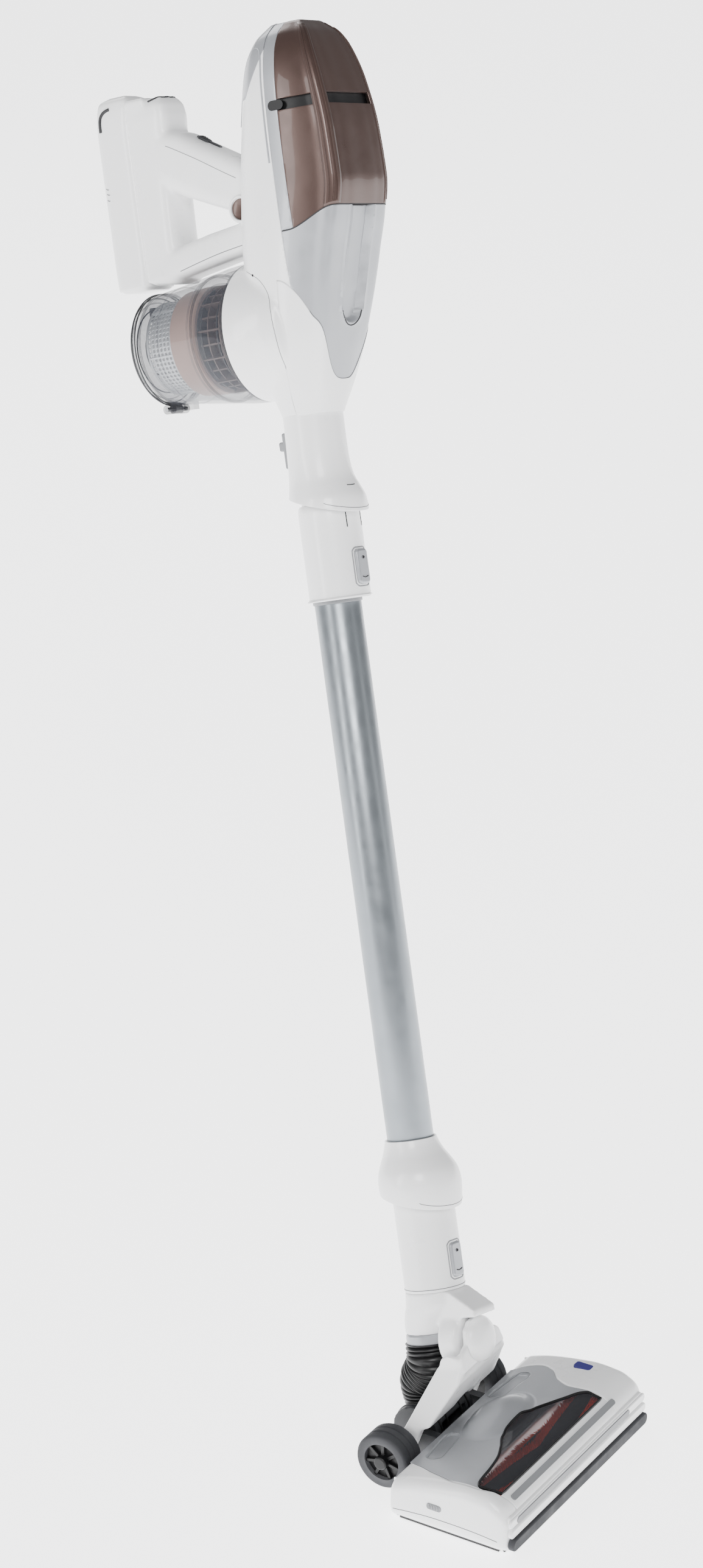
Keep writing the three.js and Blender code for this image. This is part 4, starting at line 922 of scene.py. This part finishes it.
# ---- floor head
HEAD_FRONT, HEAD_HALF = -69, 105
TRAY_HALF = 96.8  # the tray ends here, inside the cheeks
CHEEK_ROUND = 9.5  # rounding of the upper outer edges
HOLLOW_X = 49  # middle of each rear hollow
INSIDE = (0, -20, 0)
FRONT_LIP = -56.5  # front edge of the window
WINDOW = (-0.975, 0.97)  # columns where the window ends
roof_at = eased([-70, -66, -62, -50, -34, -14, 10, 30.5], [28.5, 35.2, 38.5, 43.5, 44.5, 42, 37, 30])
NEAR_HALF = eased([-70, -62, -53, -38, -25, 1, 16, 31], [87, 89.5, 92, 96, 96, 89, 81.5, 73.5])
FAR_HALF = eased([-70, -60, -45, -30, -17, -5, 7, 16, 31], [63, 62, 61, 58, 64, 77, 82, 81, 73.5])
bell = eased([-97, -92, -84, -66, -52, -38, -25, -13, 4, 16, 30, 44, 54, 59, 64], [-52, -42, -37, -35, -32.5,
    -27, -20.5, -18, -18, -21, -28, -35.5, -41, -47, -56])


def run_of(u):
    """Place across the head where the edges of a column are read."""
    return u * (92 if u < 0 else 60)


def across_cover(u, y):
    """Sideways place of a column of the cover, which is narrower on the far side."""
    return np.where(u < 0, u * NEAR_HALF(y), u * FAR_HALF(y))


def top(x, y):
    """Height of the head's upper surface, with the dome and the two corner hollows."""
    roof = roof_at(y)
    swell = np.clip(1 - (x / 43) ** 2 - ((y + 5) / 25) ** 2, 0, 1)
    dome = 29 + 19.5 * np.sqrt(swell)
    share = np.clip(0.5 + (dome - roof) / 7, 0, 1)
    high = roof * (1 - share) + dome * share + 7 * 0.25 * share * (1 - share)
    slope = y - 16.5 - 0.12 * (48 - np.abs(x))
    hollow = np.maximum(np.abs(np.abs(x) - HOLLOW_X) - 14, 0) ** 2 + np.maximum(np.abs(slope) - 1.2, 0) ** 2
    depth = np.clip((6.4 - np.sqrt(hollow)) / 1.8, 0, 1)
    return high - 1.5 * depth * depth * (3 - 2 * depth)


def sheet(low, high, columns, along, lift=0.0):
    """A patch of the head's upper surface between two edges, each a function of x."""
    rows = []
    for u in columns:
        x = run_of(u)
        y = low(x) + (high(x) - low(x)) * np.linspace(0, 1, along)
        x = across_cover(u, y)
        rows.append(np.stack((x, y, top(x, y) + lift), 1))
    return rings(rows, closed=False, capped=False)


make_head("head_cover_skin", sheet(lambda x: bell(x) + 0.6, lambda x: 29.6, np.linspace(-1, 1, 150), 80),
    SILVER, INSIDE, stands_for=["head_cover"], thick=1.8, bevel=0.5)
make_head("head_lip", sheet(lambda x: -68.4, lambda x: np.minimum(FRONT_LIP, bell(x)) - 0.4,
    np.linspace(-1, 1, 120), 10), WHITE, INSIDE, thick=1.8, bevel=0.5)
pane_columns = np.linspace(*WINDOW, 130)
make_head("window_pane", sheet(lambda x: FRONT_LIP, lambda x: np.maximum(bell(x), FRONT_LIP + 0.5),
    pane_columns, 30, -0.3), SMOKE, INSIDE, stands_for=["brush_window"], thick=1.6)
edge = [(u, float(bell(run_of(u)))) for u in pane_columns]
edge += [(u, FRONT_LIP) for u in np.linspace(WINDOW[1], WINDOW[0], 60)]
edge_path = []
for u, y in edge:
    x = across_cover(u, y)
    edge_path.append((float(x), y, float(top(x, y)) - 0.25))
make_head("window_rim", pipe(edge_path + edge_path[:1], 1.25, 1.0, sides=10, up=(0, 0, 1)), BLACK)

base_mesh = softened("head_base", 1.5, 4)
work = bmesh.new()
work.from_mesh(base_mesh)
for side in (-1, 1):
    bmesh.ops.triangle_fill(work, edges=cut_off(work, (side * TRAY_HALF * MM, 0, 0), (side, 0, 0)),
        use_beauty=True)
work.to_mesh(base_mesh)
work.free()
show("head_tray", base_mesh, "floor_head", WHITE, ["head_base"], sharp=60)

for side, name in SIDES:
    rows = []
    for y in np.concatenate((np.linspace(-69.2, -60, 12), np.linspace(-57, 22, 50),
            np.linspace(24, 30.2, 8))):
        t = max(np.clip((-61.2 - y) / 8, 0, 1), np.clip((y - 24.2) / 6, 0, 1))
        inset = 5.5 * (1 - math.sqrt(max(0.0, 1 - t * t)))
        high = float(roof_at(y)) + 0.15 - inset * 0.6
        reach = HEAD_HALF + 0.2 - inset
        arc = [(reach + CHEEK_ROUND * (math.sin(a) - 1), high + CHEEK_ROUND * (math.cos(a) - 1))
            for a in np.linspace(0, TAU / 4, 10)]
        inner = float((NEAR_HALF if side < 0 else FAR_HALF)(y)) + 0.35
        section = [(inner, high - 2.2), (inner, high - 0.5), (inner + 0.5, high),
            (inner + 2, high)] + arc + [(reach, 14), (reach - 0.2, 8), (reach - 1.6, 4), (reach - 4, 2.4),
            (94, 2.4), (94, high - 6)]
        rows.append([(side * x, y, z) for x, z in section])
    cheek = make_head(f"cheek_{name}", rings(rows), WHITE, sharp=50)
    line_on(f"cheek_seam_{name}", cheek, beside(side, ((-62, 11), (-40, 12.5), (-10, 12.5), (10, 11),
        (26, 9)), 130), (-side, 0, 0), SOFT_INK, 0.3, where=HEAD, body="floor_head")
make_head("lamp_lens", prism(rounded(84.6, 92.9, -32.8, -18.2, 2.2), "z", 40.5, 44.9), LAMP,
    stands_for=["head_lamp"], bevel=0.7)
latch_ribs = [block((-106.6, y, 20.4), (-105.8, y + 0.8, 23.8)) for y in (-12.8, -10.6, -8.4, -6.2)]
make("roller_latch_key", joined(prism(rounded(-15, -3, 19.5, 24.5, 2), "x", -106, -102.5), *latch_ribs),
    GREY, stands_for=["roller_release_latch"], bevel=0.4, where=HEAD, body="roller_latch")
BARS = [("bumper_bar", "front_bumper", 3.5, 13.5, 5.5, RUBBER), ("lower_bar", "lower_trim", 14, 21.5, 3.7,
    WHITE), ("upper_bar", "upper_trim", 22, 29.5, 2.6, WHITE)]
for name, node, low, high, proud, look in BARS:
    bar = rounded(-102.6, 102.6, low, high, (high - low) / 2 - 0.2, 6)
    make_head(name, prism(bar, "y", HEAD_FRONT - proud, HEAD_FRONT - 0.2), look, stands_for=[node],
        bevel=1.2)
make_head("front_fascia", prism(rounded(-100.5, 100.5, 13.4, 30.8, 3), "y", -70.2, -66), WHITE, bevel=1.2)
make_head("front_inlay", moved(prism(rounded(-85, 85, -2.7, 2.7, 2.6, 6), "y", -0.6, 0.6),
    at=(-8, -71.7, 25.8)), GREY, bevel=0.4)
make_head("lip_inlay", moved(prism(rounded(-77, 77, -2.5, 2.5, 2.4, 6), "z", -0.8, 0.55), 0.66, "X",
    (-9, -63.2, 37.7)), GREY, bevel=0.3)
for side, name in SIDES:
    turn = np.linspace(0, TAU, 80)
    x = side * HOLLOW_X + 20.5 * squared(np.cos(turn), 0.35)
    y = 16.5 + 6.3 * squared(np.sin(turn), 0.6) + 0.12 * (48 - np.abs(x))
    loop = np.stack((x, y, top(x, y) + 0.05), 1)
    make_head(f"recess_line_{name}", pipe(loop, 0.35, sides=8, up=(0, 0, 1)), GREY)
skirt = [block((-100, -66, 0.6), (100, -64, 4)), block((-100, 24, 0.6), (100, 26, 4)),
    block((-102, -62, 0.6), (-97, 22, 4)), block((97, -62, 0.6), (102, 22, 4))]
make_head("sole_skirt", joined(*skirt), BLACK, bevel=0.5)
for k, x in enumerate((-52, -18, 18, 52)):
    make_head(f"sole_glide_{k}", prism(rounded(x - 7, x + 7, -15.4, -9.4, 2.6), "z", 0.3, 2.2), GREY,
        bevel=0.5)

# Brush roller: a core with tufts in a chevron.
BRUSH_Y, BRUSH_Z = -41, 21
core = spun([(0, -96), (3, -96), (3, -90.6), (13.4, -90.4), (14.2, -89.6), (14.2, 74.6), (13.4, 75.4),
    (3, 75.6), (3, 92), (0, 92)], "x", (BRUSH_Y, BRUSH_Z), 56)
make("roller_core", core, DARK, stands_for=["brush_roller"], bevel=0.2, where=HEAD, body="brush")
TUFT = 0.8  # half width of a tuft at its root
draw = random.Random(7)
tufts = []
for row in range(5):
    for k in range(109):
        along = -88.5 + k * 1.5
        base = row / 5 * TAU + 0.35 - abs(along + 12) * 0.0105
        for spread in (-0.12, -0.04, 0.04, 0.12):
            a = base + spread + draw.uniform(-0.02, 0.02)
            tip = a + draw.uniform(-0.06, 0.02)
            x = along + draw.uniform(-0.5, 0.5)
            reach = 19.1 + draw.uniform(-0.5, 0.2)
            root = (BRUSH_Y + 13.6 * math.cos(a), BRUSH_Z + 13.6 * math.sin(a))
            dy, dz = TUFT * math.sin(a), TUFT * math.cos(a)
            points = [(x - TUFT, root[0] - dy, root[1] + dz), (x + TUFT, root[0] - dy, root[1] + dz),
                (x, root[0] + dy, root[1] - dz), (x + draw.uniform(-0.6, 0.6), BRUSH_Y + reach
                * math.cos(tip), BRUSH_Z + reach * math.sin(tip))]
            tufts.append((points, [(0, 1, 2), (0, 3, 1), (1, 3, 2), (2, 3, 0)]))
make("roller_bristles", joined(*tufts), BRISTLE, sharp=30, where=HEAD, body="brush")

# Wheels with ribbed tyres and spoked hubs.
WHEEL_AT, WHEEL_X, HUB_FACE = (54, 22), 64, 73.6
TREAD = [(14.6, -11.2), (19.8, -11.4), (21.2, -10.6), (22, -9), (22, -4.2), (21.2, -3.6), (21.2, -2.8),
    (22, -2.2)]
TREAD += [(radius, -along) for radius, along in TREAD[::-1]]
for side, name in ((-1, "left"), (1, "right")):
    tyre = lathe([(r, side * WHEEL_X + along) for r, along in TREAD], "x", WHEEL_AT, 96)
    make(f"tyre_{name}", tyre, RUBBER, stands_for=[f"wheel_{name}"], where=HEAD, body=f"{name}_wheel")
    low, high = sorted((side * (WHEEL_X - 9), side * (WHEEL_X + 7)))
    cap = [(0, -3), (5.4, -3), (5.4, 3.6), (4.4, 4.5), (0, 4.6)]
    hub = [lathe([(3.4, low), (15, low), (15, high), (3.4, high)], "x", WHEEL_AT, 64),
        spun([(r, side * (HUB_FACE + along)) for r, along in cap], "x", WHEEL_AT, 48)]
    low, high = sorted((side * (HUB_FACE - 5), side * HUB_FACE))
    hub += [moved(block((low, -1.3, 3.5), (high, 1.3, 14.9)), k / 7 * TAU, "X", (0, *WHEEL_AT))
        for k in range(7)]
    make(f"hub_{name}", joined(*hub), BLACK, bevel=0.35, where=HEAD, body=f"{name}_wheel")

# CAD solids that stay get a finish of their own kind.
LOOK_OF = {"brush_motor": MOTOR, "suction_motor": MOTOR, "brush_bearing": STEEL, "axle_left": STEEL,
    "axle_right": STEEL, "lid_hinge_pin": STEEL, "roller_pulley": DARK, "motor_pulley": DARK,
    "drive_belt": RUBBER, "air_duct": DARK, "axle_bracket_left": DARK, "axle_bracket_right": DARK,
    "sole_roller_left": RUBBER, "sole_roller_right": RUBBER, "fan_impeller": GREY, "motor_filter": MESH,
    "control_board": BOARD}
for name, look in LOOK_OF.items():
    data = nodes[name].data
    data.materials.clear()
    data.materials.append(look)
left_plain = [name for name, node in nodes.items() if not node.hide_render and name not in LOOK_OF]
if left_plain:
    raise RuntimeError(f"no finish for {left_plain}")


# ---- floor, light and camera
MIDDLE = Vector((0.08, 0.16, 0.6))  # the lights face this place


def light(name, at, power, size, size_y=None):
    lamp = bpy.data.lights.new(name, "AREA")
    lamp.energy, lamp.size = power, size
    if size_y:
        lamp.shape, lamp.size_y = "RECTANGLE", size_y
    thing = bpy.data.objects.new(name, lamp)
    thing.location = at
    thing.rotation_euler = (MIDDLE - Vector(at)).to_track_quat("-Z", "Y").to_euler()
    bpy.context.scene.collection.objects.link(thing)


floor_data = bpy.data.meshes.new("floor")
floor_data.from_pydata([(-30, -30, 0), (30, -30, 0), (30, 30, 0), (-30, 30, 0)], [], [(0, 1, 2, 3)])
floor = bpy.data.objects.new("floor", floor_data)
bpy.context.scene.collection.objects.link(floor)
FLOOR = material("floor_paper", (0.86, 0.86, 0.865), 0.7, tint=0.004, bump=0.01, specular=0.2, glow=3.6)
floor_data.materials.append(FLOOR)

world = bpy.data.worlds.new("studio")
bpy.context.scene.world = world
world.use_nodes = True
background = world.node_tree.nodes["Background"].inputs
background["Color"].default_value = (0.97, 0.98, 1.0, 1)
background["Strength"].default_value = 0.38
light("key", (-2.4, -1.2, 3.0), 108, 1.4)
light("side", (-2.6, 1.6, 1.5), 42, 0.6, 2.0)
light("fill", (1.2, -2.8, 1.4), 8, 0.8, 2.2)
light("back", (1.8, 2.4, 2.2), 28, 1.4)

camera_data = bpy.data.cameras.new("camera")
camera_data.lens, camera_data.sensor_width = 94.472, 36
camera_data.clip_start, camera_data.clip_end = 0.05, 120
camera = bpy.data.objects.new("camera", camera_data)
bpy.context.scene.collection.objects.link(camera)
camera.matrix_world = Matrix(((0.5269558, 0.3456825, -0.7764156, -2.275736),
    (-0.8498927, 0.2143322, -0.4813981, -1.284420), (0.0, 0.9135455, 0.4067366, 1.717865), (0, 0, 0, 1)))
bpy.context.scene.camera = camera
